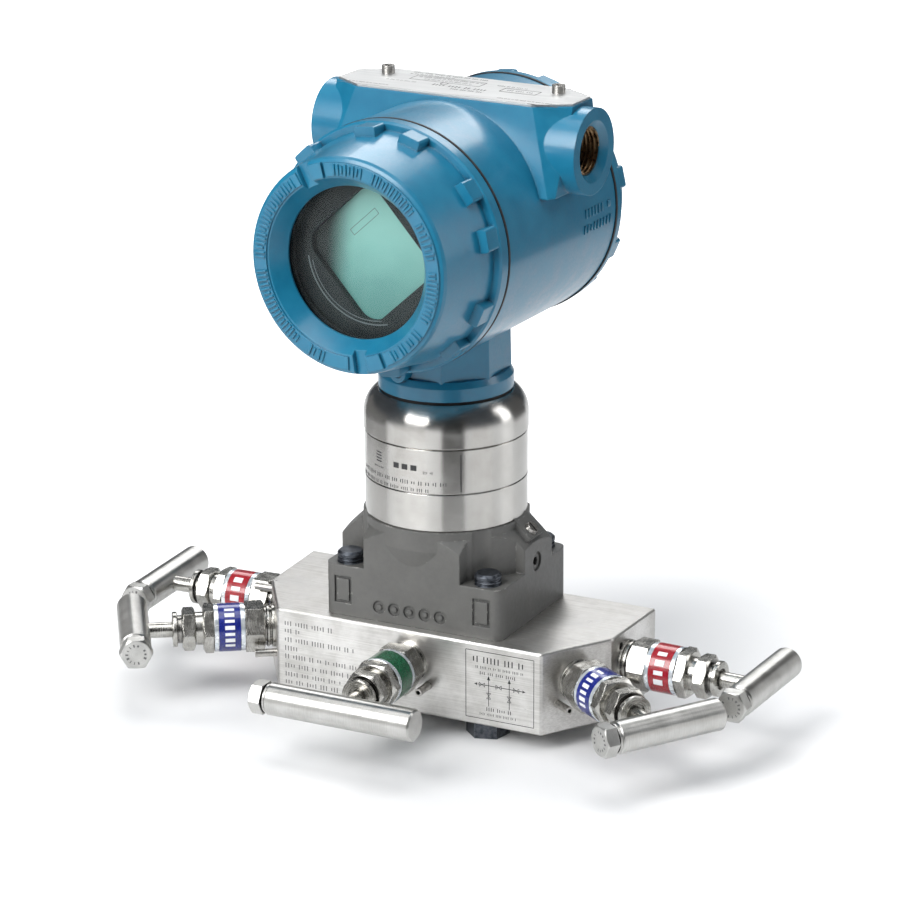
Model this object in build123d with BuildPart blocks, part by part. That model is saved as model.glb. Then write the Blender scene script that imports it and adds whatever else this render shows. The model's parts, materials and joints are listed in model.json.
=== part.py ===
from build123d import *
from math import cos, sin, tan, radians, atan2, degrees, hypot
import os

os.makedirs("parts", exist_ok=True)

# Frame: Z = 0 is the manifold's underside, Z runs up the module axis, -Y is the display side.

# Shared clearances
GAP = 0.05
SEAL_GAP = 0.1

# Manifold block
MAN_H = 35.5
MAN_FRONT = -36.7
MAN_BACK = 31.7
MAN_HALF_MID = 79.4
MAN_BEVEL = 18.7
MAN_FLARE = 1.6
MAN_MID_Y = -8.1
MAN_HALF_FRONT = MAN_HALF_MID - MAN_BEVEL
MAN_HALF = MAN_HALF_MID + MAN_FLARE
MAN_EDGE = 0.7
PORT_X = 27.0
PORT_R = 9.25
PORT_MOUTH_R = 10.6
PORT_DEPTH = 16.0
FEED_R = 3.2
VENT_PORT_X = 52.0
VENT_PORT_R = 5.6
VENT_PORT_DEPTH = 12.0
VALVE_BORE_R = 8.0
VALVE_BORE_DEPTH = 13.0
END_HOLE_R = 1.8
END_HOLE_DEPTH = 4.0
END_HOLE_Y = -0.5
END_HOLE_DROP = 5.8

# Sensor module
MOD_R = 33.5
RING_TOP = 58.9
BAND_TOP = 77.3
SEAM_W = 0.5
SEAM_D = 0.35
CAN_STEP = 3.0
DOME_PROUD = 0.4
DOME_R = MOD_R + DOME_PROUD
DOME_ARC_R = 12.0
DOME_ARC_Z = 84.7
DOME_TOP = 94.8
STUB_R = 12.5
STUB_L = 16.0
NECK_GASKET_R = DOME_R - 7.0
NECK_GASKET_T = 1.0
COLLAR_R = NECK_GASKET_R + 0.9
COLLAR_H = 5.4
COLLAR_BLEND = 2.6
CONE_TOP_R = MOD_R + 0.9

# Adapter flange
FL_HALF_X = 40.4
FL_FRONT = -32.3
FL_BACK = 31.5
FL_H = 42.6
FL_CORNER_R = 4.5
FL_POCKET_Z = 22.0
FL_POCKET_X = 22.4
FL_POCKET_WIDE = 9.5
FL_POCKET_TIGHT = 16.3
FL_BULGE_LOW = 25.0
FL_BULGE_TOP = 34.0
FL_FACET = 34.2
CONE_TOP_Z = 39.2
BOLT_X = 31.5
BOLT_Y = 25.4
BOLT_R = 5.55
BOLT_TOP = 26.9
BOLT_AF = 15.9
BOLT_HEAD_H = 7.4
BOLT_TIP = 1.9
BOLT_HEX_TURN = 18.0
THREAD_STEP = 1.6
THREAD_DEPTH = 0.7
THREAD_TURNS = 4
SPOT_R = 7.6
ROUNDEL_R = 2.7
ROUNDEL_DOT_R = 1.2
ROUNDEL_STEP = 7.0
ROUNDEL_DEPTH = 0.7
ROUNDEL_X = -15.1
ROUNDEL_Z = 6.2
MARK_X = 31.7
MARK_Z = 11.4
MARK_W = 7.8
MARK_H = 11.6
MARK_RIB = 1.1
MARK_DEPTH = 0.7
PAD_W = 12.0
PAD_L = 11.0
PAD_H = 2.2
PAD_Y = 1.0
PAD_SCREW_Y = -0.8
PAD_SCREW_DROP = 1.6
PAD_R = CONE_TOP_R + 1.2
PAD_SCREW_R = 1.6
PAD_SCREW_L = 7.0
PAD_HEAD_R = 2.9
PAD_HEAD_H = 1.7
PLUG_R = 4.0
PLUG_Y = 2.0
PLUG_Z = 24.0
PLUG_L = 9.0
PLUG_SINK = 0.8

# Electronics housing, in its own frame turned about Z
YAW = -2.4
AXIS_Z = MAN_H + 163.8
BARREL_R = 50.4
RIM_R = 50.8
BORE_R = 44.2
FRONT_SEAM = -39.6
REAR_SEAM = 52.8
WALL_FRONT = -4.0
WALL_REAR = 1.0
BOSS_X = 60.0
BOSS_ROOT = 20.0
BOSS_Y = 13.5
BOSS_Z = 32.8
BOSS_R = 17.6
CONDUIT_R = 9.9
CONDUIT_MOUTH_R = 11.2
CONDUIT_LIP = 1.3
CONDUIT_L = 24.0
CONDUIT_PASS_R = 8.7
CONDUIT_PASS_L = 33.0
PLATE_H = 52.6
PLATE_T = 0.9
PLATE_Y = 15.2
PLATE_HALF_L = 53.4
PLATE_HALF_W = 16.4
PLATE_SCREW_X = 39.2
PLATE_SCREW_Y = 7.8
PLATE_CUT_X = 13.8
PLATE_CUT_Y = 8.6
SADDLE_LOW = 17.0
SADDLE_HALF_L = 53.0
SADDLE_HALF_W = 22.5
SADDLE_MARGIN = 0.6
SADDLE_CUT_X = 2.0
SADDLE_CUT_Y = 3.0
PLATE_SCREW_R = 1.6
PLATE_HEAD_R = 2.7
PLATE_HEAD_H = 3.2
PLATE_SCREW_L = 6.5

# Covers
COVER_GAP = 0.9
SPIGOT_L = 11.0
COVER_LEN = 38.8
FACE_R = 42.4
DRUM_R = 47.4
STEP_W = 6.2
LUG_L = 8.0
LUG_W = 9.2
LUG_PAIRS = 6
LUG_START = 24.3
LUG_HALF_PITCH = 11.8
WINDOW_R = 30.6
WINDOW_MOUTH_R = 35.2
WINDOW_DEPTH = 8.0
GLASS_T = 6.0
COVER_BORE_R = 40.6
REAR_LEN = 16.5
REAR_STEP_W = 4.2
REAR_LUG_L = 5.0

# Valves, heights measured out from the manifold face
BAR_H = 59.0
BAR_R = 6.6
LONG_BAR = 65.0
SHORT_BAR = 48.6
STEM_R = 3.25
BAND_R = 10.1
TUBE_R = 9.9
HEX1_AF = 19.05
HEX2_AF = 18.6
HEX3_AF = 16.2
NECK_R = 7.0
EQUAL_SHIFT = 1.6
ISO_BAR_SHIFT = 4.2
VENT_BAR_SHIFT = 5.4
SCREW_AF = 12.2
SCREW_HEAD_H = 5.4
SCREW_NECK_H = 1.7


def save(part, node):
    part.part.label = node
    export_step(part.part, "parts/" + node + ".step")


# Manifold plan and valve seats
bevel_angle = atan2(MAN_MID_Y - MAN_FRONT, MAN_HALF_MID - MAN_HALF_FRONT)
bevel_mid_x = (MAN_HALF_FRONT + MAN_HALF_MID) / 2
bevel_mid_y = (MAN_FRONT + MAN_MID_Y) / 2
EQUAL_Z = MAN_H - 13.7
ISO_Z = MAN_H - 14.4
ISO_SHIFT = 0.6
VENT_Z = MAN_H - 13.8
VENT_Y = 4.4


def seat_plane(x, y, z, nx, ny, tx, ty):
    return Plane(origin=(x, y, z), x_dir=(tx, ty, 0), z_dir=(nx, ny, 0))


iso_x = bevel_mid_x + ISO_SHIFT * cos(bevel_angle)
iso_y = bevel_mid_y + ISO_SHIFT * sin(bevel_angle)
vent_x = MAN_HALF_MID + (MAN_HALF - MAN_HALF_MID) * (VENT_Y - MAN_MID_Y) / (MAN_BACK - MAN_MID_Y)
end_lean = atan2(MAN_HALF - MAN_HALF_MID, MAN_BACK - MAN_MID_Y)
# Each valve's seat, the length of its bar and how far the bar is off centre
SEATS = {
    "equalise": (seat_plane(0, MAN_FRONT, EQUAL_Z, 0, -1, 1, 0), LONG_BAR, EQUAL_SHIFT),
    "right_isolate": (
        seat_plane(iso_x, iso_y, ISO_Z, sin(bevel_angle), -cos(bevel_angle),
                   cos(bevel_angle), sin(bevel_angle)),
        SHORT_BAR,
        ISO_BAR_SHIFT,
    ),
    "left_isolate": (
        seat_plane(-iso_x, iso_y, ISO_Z, -sin(bevel_angle), -cos(bevel_angle),
                   -cos(bevel_angle), sin(bevel_angle)),
        SHORT_BAR,
        ISO_BAR_SHIFT,
    ),
    "right_vent": (
        seat_plane(vent_x, VENT_Y, VENT_Z, cos(end_lean), -sin(end_lean),
                   sin(end_lean), cos(end_lean)),
        SHORT_BAR,
        VENT_BAR_SHIFT,
    ),
    "left_vent": (
        seat_plane(-vent_x, VENT_Y, VENT_Z, -cos(end_lean), -sin(end_lean),
                   -sin(end_lean), cos(end_lean)),
        SHORT_BAR,
        VENT_BAR_SHIFT,
    ),
}
PIN_SIDE = {
    "equalise": 1,
    "right_isolate": -1,
    "left_isolate": -1,
    "right_vent": -1,
    "left_vent": -1,
}
PIN_OUT = 9.0
PIN_IN = 6.0
PIN_R = 1.7
PIN_BORE_R = 0.9
PIN_ALONG = 9.6
PIN_DROP = 8.6
PIN_RISE = {"left_vent": 1}


def pin_plane(valve):
    seat = SEATS[valve][0]
    spot = seat.from_local_coords((PIN_SIDE[valve] * PIN_ALONG, 0, 0))
    height = spot.Z + PIN_RISE.get(valve, -1) * PIN_DROP
    return Plane(origin=(spot.X, spot.Y, height), x_dir=seat.x_dir, z_dir=seat.z_dir)


with BuildPart() as manifold_block:
    with BuildSketch() as plan:
        with BuildLine():
            Polyline(
                (-MAN_HALF_FRONT, MAN_FRONT),
                (MAN_HALF_FRONT, MAN_FRONT),
                (MAN_HALF_MID, MAN_MID_Y),
                (MAN_HALF, MAN_BACK),
                (-MAN_HALF, MAN_BACK),
                (-MAN_HALF_MID, MAN_MID_Y),
                close=True,
            )
        make_face()
    extrude(amount=MAN_H)
    chamfer(manifold_block.edges(), MAN_EDGE)
    for side in (-1, 1):
        # Tapped process ports on the underside, with a feed up to the module side
        with BuildSketch(Plane.XY.offset(-1)):
            with Locations((side * PORT_X, 0)):
                Circle(PORT_R)
        extrude(amount=1 + PORT_DEPTH, mode=Mode.SUBTRACT)
        with BuildSketch(Plane.XZ):
            with BuildLine():
                Polyline(
                    (side * PORT_X, -1),
                    (side * PORT_X + PORT_MOUTH_R + 1, -1),
                    (side * PORT_X + PORT_R - 0.5, PORT_MOUTH_R - PORT_R + 0.5),
                    (side * PORT_X, PORT_MOUTH_R - PORT_R + 0.5),
                    close=True,
                )
            make_face()
        revolve(axis=Axis((side * PORT_X, 0, 0), (0, 0, 1)), mode=Mode.SUBTRACT)
        with BuildSketch(Plane.XY.offset(PORT_DEPTH - 1)):
            with Locations((side * PORT_X, 0)):
                Circle(FEED_R)
        extrude(amount=MAN_H, mode=Mode.SUBTRACT)
        # Vent outlet on the back face
        with BuildSketch(Plane.XZ.offset(-MAN_BACK - 1)):
            with Locations((side * VENT_PORT_X, MAN_H / 2)):
                Circle(VENT_PORT_R)
        extrude(amount=1 + VENT_PORT_DEPTH, mode=Mode.SUBTRACT)
        # Drilled dot on the end face
        with BuildSketch(Plane.YZ.offset(side * (MAN_HALF + 1))):
            with Locations((END_HOLE_Y, MAN_H - END_HOLE_DROP)):
                Circle(END_HOLE_R)
        extrude(amount=-side * (1 + END_HOLE_DEPTH), mode=Mode.SUBTRACT)
        # Flange bolt holes
        with BuildSketch(Plane.XY.offset(-1)):
            with Locations((side * BOLT_X, -BOLT_Y), (side * BOLT_X, BOLT_Y)):
                Circle(BOLT_R + GAP)
        extrude(amount=MAN_H + 2, mode=Mode.SUBTRACT)
    for valve in SEATS:
        with BuildSketch(SEATS[valve][0].offset(1)):
            Circle(VALVE_BORE_R)
        extrude(amount=-1 - VALVE_BORE_DEPTH, mode=Mode.SUBTRACT)
        with BuildSketch(pin_plane(valve).offset(1)):
            Circle(PIN_R)
        extrude(amount=-1 - PIN_IN, mode=Mode.SUBTRACT)
save(manifold_block, "manifold_block")

# Spring pins that stop the bonnets from turning
with BuildPart() as lock_pins:
    for valve in SEATS:
        with BuildSketch(pin_plane(valve).offset(-PIN_IN + SEAL_GAP)):
            Circle(PIN_R - GAP)
            Circle(PIN_BORE_R, mode=Mode.SUBTRACT)
        extrude(amount=PIN_IN - SEAL_GAP + PIN_OUT)
save(lock_pins, "lock_pins")

# Adapter flange between the manifold and the module
FL_Z = MAN_H
bolt_reach = hypot(BOLT_X, BOLT_Y)
pad_z = FL_Z + CONE_TOP_Z - (PAD_R - CONE_TOP_R)
pad_spot = (PAD_SCREW_Y, -PAD_SCREW_DROP)
PAD_PLANE = Plane(origin=(PAD_R, PAD_Y, pad_z), x_dir=(0, 1, 0), z_dir=(1, 0, 1))
with BuildPart() as flange:
    with BuildSketch(Plane.XY.offset(FL_Z)):
        with Locations((0, (FL_FRONT + FL_BACK) / 2)):
            RectangleRounded(2 * FL_HALF_X, FL_BACK - FL_FRONT, FL_CORNER_R)
    extrude(amount=FL_H)
    # Shoulders fall away from the round module seat at 45 degrees
    with BuildSketch(Plane.XZ):
        with BuildLine():
            Polyline(
                (0, FL_Z - 1),
                (CONE_TOP_R + CONE_TOP_Z + 1, FL_Z - 1),
                (CONE_TOP_R, FL_Z + CONE_TOP_Z),
                (CONE_TOP_R, FL_Z + FL_H),
                (0, FL_Z + FL_H),
                close=True,
            )
        make_face()
    revolve(axis=Axis.Z, mode=Mode.INTERSECT)
    # The casting swells out to the round seat
    with BuildSketch(Plane.XZ):
        with BuildLine():
            Polyline(
                (0, FL_Z + FL_BULGE_LOW),
                (-FL_FRONT - 0.4, FL_Z + FL_BULGE_LOW),
                (CONE_TOP_R, FL_Z + FL_BULGE_TOP),
                (CONE_TOP_R, FL_Z + FL_H),
                (0, FL_Z + FL_H),
                close=True,
            )
        make_face()
    revolve(axis=Axis.Z)
    # Corner pockets round the bolt ends, closed by a facet across the corner
    for sx in (-1, 1):
        for sy in (-1, 1):
            ux = sx * BOLT_X / bolt_reach
            uy = sy * BOLT_Y / bolt_reach
            wall_y = FL_POCKET_WIDE if sx * sy < 0 else FL_POCKET_TIGHT
            cross_y = (FL_FACET - abs(ux) * FL_POCKET_X) / abs(uy)
            cross_x = (FL_FACET - abs(uy) * wall_y) / abs(ux)
            with BuildSketch(Plane.XY.offset(FL_Z + FL_POCKET_Z)):
                with BuildLine():
                    Polyline(
                        (sx * FL_POCKET_X, sy * cross_y),
                        (sx * cross_x, sy * wall_y),
                        (sx * (FL_HALF_X + 5), sy * wall_y),
                        (sx * (FL_HALF_X + 5), sy * (FL_BACK + 8)),
                        (sx * (FL_POCKET_X - 1), sy * (FL_BACK + 8)),
                        close=True,
                    )
                make_face()
            extrude(amount=FL_H, mode=Mode.SUBTRACT)
    with BuildSketch(Plane.XY.offset(FL_Z + FL_POCKET_Z)):
        for sx in (-1, 1):
            with Locations((sx * BOLT_X, -BOLT_Y), (sx * BOLT_X, BOLT_Y)):
                Circle(SPOT_R)
    extrude(amount=FL_H, mode=Mode.SUBTRACT)
    # Bolt holes and process passages
    with BuildSketch(Plane.XY.offset(FL_Z - 1)):
        for sx in (-1, 1):
            with Locations((sx * BOLT_X, -BOLT_Y), (sx * BOLT_X, BOLT_Y)):
                Circle(BOLT_R + GAP)
            with Locations((sx * PORT_X, 0)):
                Circle(FEED_R)
    extrude(amount=FL_H + 2, mode=Mode.SUBTRACT)
    # Bare cast marks on the front: five roundels and two sunk frames
    with BuildSketch(Plane.XZ.offset(-FL_FRONT + 1)):
        for i in range(5):
            with Locations((ROUNDEL_X + i * ROUNDEL_STEP, FL_Z + ROUNDEL_Z)):
                Circle(ROUNDEL_R)
                Circle(ROUNDEL_DOT_R, mode=Mode.SUBTRACT)
        for side in (-1, 1):
            with Locations((side * MARK_X, FL_Z + MARK_Z)):
                Rectangle(MARK_W, MARK_H)
                Rectangle(MARK_W - 2 * MARK_RIB, MARK_H - 2 * MARK_RIB, mode=Mode.SUBTRACT)
    extrude(amount=-1 - ROUNDEL_DEPTH, mode=Mode.SUBTRACT)
    # Pad on the right shoulder for the small screw, and the two side plugs
    with BuildSketch(PAD_PLANE):
        Rectangle(PAD_W, PAD_L)
    extrude(amount=PAD_H)
    with BuildSketch(PAD_PLANE):
        Rectangle(PAD_W, PAD_L)
    extrude(amount=-PAD_H)
    with BuildSketch(PAD_PLANE.offset(PAD_H + 1)):
        with Locations(pad_spot):
            Circle(PAD_SCREW_R + GAP)
    extrude(amount=-1 - PAD_SCREW_L - GAP, mode=Mode.SUBTRACT)
    for side in (-1, 1):
        with BuildSketch(Plane.YZ.offset(side * (FL_HALF_X + 1))):
            with Locations((PLUG_Y, FL_Z + PLUG_Z)):
                Circle(PLUG_R + GAP)
        extrude(amount=-side * (1 + PLUG_L + GAP), mode=Mode.SUBTRACT)
save(flange, "flange")

with BuildPart() as pad_screw:
    with BuildSketch(PAD_PLANE.offset(PAD_H)):
        with Locations(pad_spot):
            Circle(PAD_SCREW_R)
    extrude(amount=-PAD_SCREW_L)
    with BuildSketch(PAD_PLANE.offset(PAD_H)):
        with Locations(pad_spot):
            Circle(PAD_HEAD_R)
    extrude(amount=PAD_HEAD_H, taper=12)
    with BuildSketch(PAD_PLANE.offset(PAD_H + PAD_HEAD_H)):
        with Locations(pad_spot):
            Rectangle(1, 2 * PAD_HEAD_R)
    extrude(amount=-0.9, mode=Mode.SUBTRACT)
save(pad_screw, "pad_screw")

with BuildPart() as side_plugs:
    for side in (-1, 1):
        with BuildSketch(Plane.YZ.offset(side * (FL_HALF_X - PLUG_SINK))):
            with Locations((PLUG_Y, FL_Z + PLUG_Z)):
                Circle(PLUG_R)
        extrude(amount=-side * (PLUG_L - PLUG_SINK))
        with BuildSketch(Plane.YZ.offset(side * (FL_HALF_X - PLUG_SINK))):
            with Locations((PLUG_Y, FL_Z + PLUG_Z)):
                RegularPolygon(radius=PLUG_R / 2, side_count=6)
        extrude(amount=-side * PLUG_R / 2, mode=Mode.SUBTRACT)
save(side_plugs, "side_plugs")

# Bolts that come up through the manifold and screw into the flange
with BuildPart() as flange_bolts:
    for sx in (-1, 1):
        for sy in (-1, 1):
            spot = (sx * BOLT_X, sy * BOLT_Y)
            with BuildSketch(Plane.XY.offset(-BOLT_HEAD_H)):
                with Locations(spot):
                    RegularPolygon(radius=BOLT_AF / 2, side_count=6, major_radius=False,
                                   rotation=BOLT_HEX_TURN)
            extrude(amount=BOLT_HEAD_H)
            with BuildSketch(Plane.XY):
                with Locations(spot):
                    Circle(BOLT_R)
            extrude(amount=FL_Z + BOLT_TOP)
            with BuildSketch(Plane.XZ.offset(-spot[1])):
                with BuildLine():
                    Polyline(
                        (spot[0], FL_Z + BOLT_TOP + 1),
                        (spot[0] + BOLT_R + 1, FL_Z + BOLT_TOP + 1),
                        (spot[0] + BOLT_R + 1, FL_Z + BOLT_TOP - BOLT_TIP),
                        (spot[0] + BOLT_R - BOLT_TIP / 2, FL_Z + BOLT_TOP),
                        (spot[0], FL_Z + BOLT_TOP),
                        close=True,
                    )
                make_face()
                for turn in range(THREAD_TURNS):
                    groove = FL_Z + BOLT_TOP - BOLT_TIP - (turn + 0.5) * THREAD_STEP
                    with BuildLine():
                        Polyline(
                            (spot[0] + BOLT_R + 0.1, groove - THREAD_STEP * 0.45),
                            (spot[0] + BOLT_R + 0.1, groove + THREAD_STEP * 0.45),
                            (spot[0] + BOLT_R - THREAD_DEPTH, groove),
                            close=True,
                        )
                    make_face()
            revolve(axis=Axis((spot[0], spot[1], 0), (0, 0, 1)), mode=Mode.SUBTRACT)
save(flange_bolts, "flange_bolts")

# Sensor module can, with the fine seam round its label band
MOD_Z = FL_Z + FL_H
with BuildPart() as module_can:
    with BuildSketch(Plane.XZ):
        with BuildLine():
            Polyline(
                (0, MOD_Z),
                (MOD_R - 0.4, MOD_Z),
                (MOD_R, MOD_Z + 0.4),
                (MOD_R, MAN_H + RING_TOP - SEAM_W),
                (MOD_R - SEAM_D, MAN_H + RING_TOP - SEAM_W),
                (MOD_R - SEAM_D, MAN_H + RING_TOP),
                (MOD_R, MAN_H + RING_TOP),
                (MOD_R, MAN_H + BAND_TOP),
                (MOD_R - CAN_STEP, MAN_H + BAND_TOP),
                (MOD_R - CAN_STEP, MAN_H + BAND_TOP + CAN_STEP),
                (0, MAN_H + BAND_TOP + CAN_STEP),
                close=True,
            )
        make_face()
    revolve(axis=Axis.Z)
save(module_can, "module_can")

dome_flat_r = DOME_R - DOME_ARC_R + (DOME_ARC_R**2 - (DOME_TOP - DOME_ARC_Z)**2) ** 0.5
with BuildPart() as module_dome:
    with BuildSketch(Plane.XZ):
        with BuildLine():
            Polyline(
                (dome_flat_r, MAN_H + DOME_TOP),
                (STUB_R - GAP, MAN_H + DOME_TOP),
                (STUB_R - GAP, MAN_H + DOME_TOP + STUB_L),
                (0, MAN_H + DOME_TOP + STUB_L),
                (0, MAN_H + BAND_TOP + CAN_STEP + SEAL_GAP),
                (MOD_R - CAN_STEP + SEAL_GAP, MAN_H + BAND_TOP + CAN_STEP + SEAL_GAP),
                (MOD_R - CAN_STEP + SEAL_GAP, MAN_H + BAND_TOP),
                (DOME_R - 0.8, MAN_H + BAND_TOP),
                (DOME_R, MAN_H + BAND_TOP + 0.8),
                (DOME_R, MAN_H + DOME_ARC_Z),
            )
            RadiusArc((DOME_R, MAN_H + DOME_ARC_Z), (dome_flat_r, MAN_H + DOME_TOP), -DOME_ARC_R)
        make_face()
    revolve(axis=Axis.Z)
save(module_dome, "module_dome")

COLLAR_Z = MAN_H + DOME_TOP + NECK_GASKET_T + SEAL_GAP
with BuildPart() as neck_gasket:
    with BuildSketch(Plane.XY.offset(MAN_H + DOME_TOP)):
        Circle(NECK_GASKET_R)
        Circle(STUB_R + 4, mode=Mode.SUBTRACT)
    extrude(amount=NECK_GASKET_T)
save(neck_gasket, "neck_gasket")

# Housing planes: FACE looks along the barrel, PROFILE holds half sections of it
along = (cos(radians(YAW)), sin(radians(YAW)), 0)
back = (-sin(radians(YAW)), cos(radians(YAW)), 0)
front = (sin(radians(YAW)), -cos(radians(YAW)), 0)
FACE = Plane(origin=(0, 0, AXIS_Z), x_dir=along, z_dir=front)
PROFILE = Plane(origin=(0, 0, AXIS_Z), x_dir=back, z_dir=along)
LEVEL = Plane(origin=(0, 0, AXIS_Z), x_dir=along, z_dir=(0, 0, 1))
BARREL_AXIS = Axis((0, 0, AXIS_Z), back)


def cut_rectangle(half_l, half_w, cut_x, cut_y):
    # Points of a rectangle with its corners cut off
    return [
        (-half_l + cut_x, -half_w),
        (half_l - cut_x, -half_w),
        (half_l, -half_w + cut_y),
        (half_l, half_w - cut_y),
        (half_l - cut_x, half_w),
        (-half_l + cut_x, half_w),
        (-half_l, half_w - cut_y),
        (-half_l, -half_w + cut_y),
    ]


def raised(plane, x, y, h):
    # The plane moved to a local point and height
    spot = plane.from_local_coords((x, y, h))
    return Plane(origin=spot, x_dir=plane.x_dir, z_dir=plane.z_dir)


NECK_SIDES = 8
NECK_LOW_R = COLLAR_R - 1.0
NECK_HIGH_R = COLLAR_R - 1.5
SCREW_ANGLE = -107.0
SCREW_BOSS_R = 4.6
SCREW_BOSS_OUT = COLLAR_R + 0.8
SET_SCREW_R = 2.5
SET_SCREW_L = 12.0
SCREW_Z = COLLAR_Z + 11.0
set_dir = (cos(radians(SCREW_ANGLE)), sin(radians(SCREW_ANGLE)), 0)
SET_PLANE = Plane(origin=(0, 0, SCREW_Z), x_dir=(0, 0, 1), z_dir=set_dir)
saddle_top = PLATE_H - PLATE_T
with BuildPart() as housing:
    with BuildSketch(PROFILE):
        with BuildLine():
            Polyline(
                (FRONT_SEAM, 0),
                (FRONT_SEAM, BARREL_R - 0.5),
                (FRONT_SEAM + 0.5, BARREL_R),
                (REAR_SEAM - 0.5, BARREL_R),
                (REAR_SEAM, BARREL_R - 0.5),
                (REAR_SEAM, 0),
                close=True,
            )
        make_face()
    revolve(axis=BARREL_AXIS)
    # Saddle under the nameplate
    with BuildSketch(raised(LEVEL, 0, PLATE_Y, saddle_top)):
        with BuildLine():
            Polyline(*cut_rectangle(PLATE_HALF_L + SADDLE_MARGIN, PLATE_HALF_W + SADDLE_MARGIN, PLATE_CUT_X, PLATE_CUT_Y),
                     close=True)
        make_face()
    with BuildSketch(raised(LEVEL, 0, BOSS_Y, SADDLE_LOW)):
        with BuildLine():
            Polyline(*cut_rectangle(SADDLE_HALF_L, SADDLE_HALF_W, SADDLE_CUT_X, SADDLE_CUT_Y), close=True)
        make_face()
    loft(ruled=True)
    # Conduit bosses
    for side in (-1, 1):
        with BuildSketch(PROFILE.offset(side * BOSS_ROOT)):
            with Locations((BOSS_Y, BOSS_Z)):
                Circle(BOSS_R)
        extrude(amount=side * (BOSS_X - BOSS_ROOT))
    # Neck, collar and set screw boss
    with BuildSketch(Plane.XY.offset(COLLAR_Z)):
        Circle(COLLAR_R)
    extrude(amount=COLLAR_H)
    with BuildSketch(Plane.XY.offset(COLLAR_Z + COLLAR_H)):
        Circle(COLLAR_R)
    extrude(amount=COLLAR_BLEND, taper=30)
    with BuildSketch(Plane.XY.offset(COLLAR_Z + COLLAR_H - 1)):
        RegularPolygon(radius=NECK_LOW_R, side_count=NECK_SIDES, rotation=22.5)
    with BuildSketch(Plane.XY.offset(AXIS_Z - BORE_R + 6)):
        RegularPolygon(radius=NECK_HIGH_R, side_count=NECK_SIDES, rotation=22.5)
    loft()
    with BuildSketch(SET_PLANE.offset(18)):
        Circle(SCREW_BOSS_R)
    extrude(amount=SCREW_BOSS_OUT - 18)
    # Front and rear compartments
    with BuildSketch(FACE.offset(-WALL_FRONT)):
        Circle(BORE_R)
    extrude(amount=WALL_FRONT - FRONT_SEAM + 1, mode=Mode.SUBTRACT)
    with BuildSketch(FACE.offset(-WALL_REAR)):
        Circle(BORE_R)
    extrude(amount=WALL_REAR - REAR_SEAM - 1, mode=Mode.SUBTRACT)
    # Cable passage down the neck and the conduit entries
    with BuildSketch(Plane.XY.offset(COLLAR_Z - 1)):
        Circle(STUB_R)
    extrude(amount=AXIS_Z - BORE_R - COLLAR_Z + 4, mode=Mode.SUBTRACT)
    for side in (-1, 1):
        with BuildSketch(PROFILE.offset(side * (BOSS_X + 1))):
            with Locations((BOSS_Y, BOSS_Z)):
                Circle(CONDUIT_R)
        extrude(amount=-side * (CONDUIT_L + 1), mode=Mode.SUBTRACT)
        with BuildSketch(PROFILE.offset(side * BOSS_X)):
            with Locations((BOSS_Y, BOSS_Z)):
                Circle(CONDUIT_PASS_R)
        extrude(amount=-side * CONDUIT_PASS_L, mode=Mode.SUBTRACT)
        mouth = raised(PROFILE, BOSS_Y, BOSS_Z, side * BOSS_X)
        with BuildSketch(Plane(origin=mouth.origin, x_dir=along, z_dir=front)):
            with BuildLine():
                Polyline(
                    (side, 0),
                    (side, CONDUIT_MOUTH_R + CONDUIT_LIP),
                    (0, CONDUIT_MOUTH_R + CONDUIT_LIP),
                    (-side * CONDUIT_LIP, CONDUIT_MOUTH_R),
                    (-side * 2 * CONDUIT_LIP, CONDUIT_R),
                    (-side * 2 * CONDUIT_LIP, 0),
                    close=True,
                )
            make_face()
        revolve(axis=Axis(mouth.origin, along), mode=Mode.SUBTRACT)
    with BuildSketch(SET_PLANE.offset(SCREW_BOSS_OUT - SET_SCREW_L)):
        Circle(SET_SCREW_R + GAP)
    extrude(amount=SET_SCREW_L + 1, mode=Mode.SUBTRACT)
    for side in (-1, 1):
        with BuildSketch(raised(LEVEL, side * PLATE_SCREW_X, PLATE_Y + PLATE_SCREW_Y, saddle_top + 1)):
            Circle(PLATE_SCREW_R)
        extrude(amount=-PLATE_SCREW_L - 0.5, mode=Mode.SUBTRACT)
save(housing, "housing")

with BuildPart() as set_screw:
    with BuildSketch(SET_PLANE.offset(SCREW_BOSS_OUT - SET_SCREW_L + 0.2)):
        Circle(SET_SCREW_R)
    extrude(amount=SET_SCREW_L - 0.9)
    with BuildSketch(SET_PLANE.offset(SCREW_BOSS_OUT - 0.7)):
        RegularPolygon(radius=1.3, side_count=6)
    extrude(amount=-2.6, mode=Mode.SUBTRACT)
save(set_screw, "set_screw")

with BuildPart() as nameplate:
    with BuildSketch(raised(LEVEL, 0, PLATE_Y, saddle_top)):
        with BuildLine():
            Polyline(*cut_rectangle(PLATE_HALF_L, PLATE_HALF_W, PLATE_CUT_X, PLATE_CUT_Y), close=True)
        make_face()
        with Locations((-PLATE_SCREW_X, PLATE_SCREW_Y), (PLATE_SCREW_X, PLATE_SCREW_Y)):
            Circle(PLATE_SCREW_R, mode=Mode.SUBTRACT)
    extrude(amount=PLATE_T)
save(nameplate, "nameplate")

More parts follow.
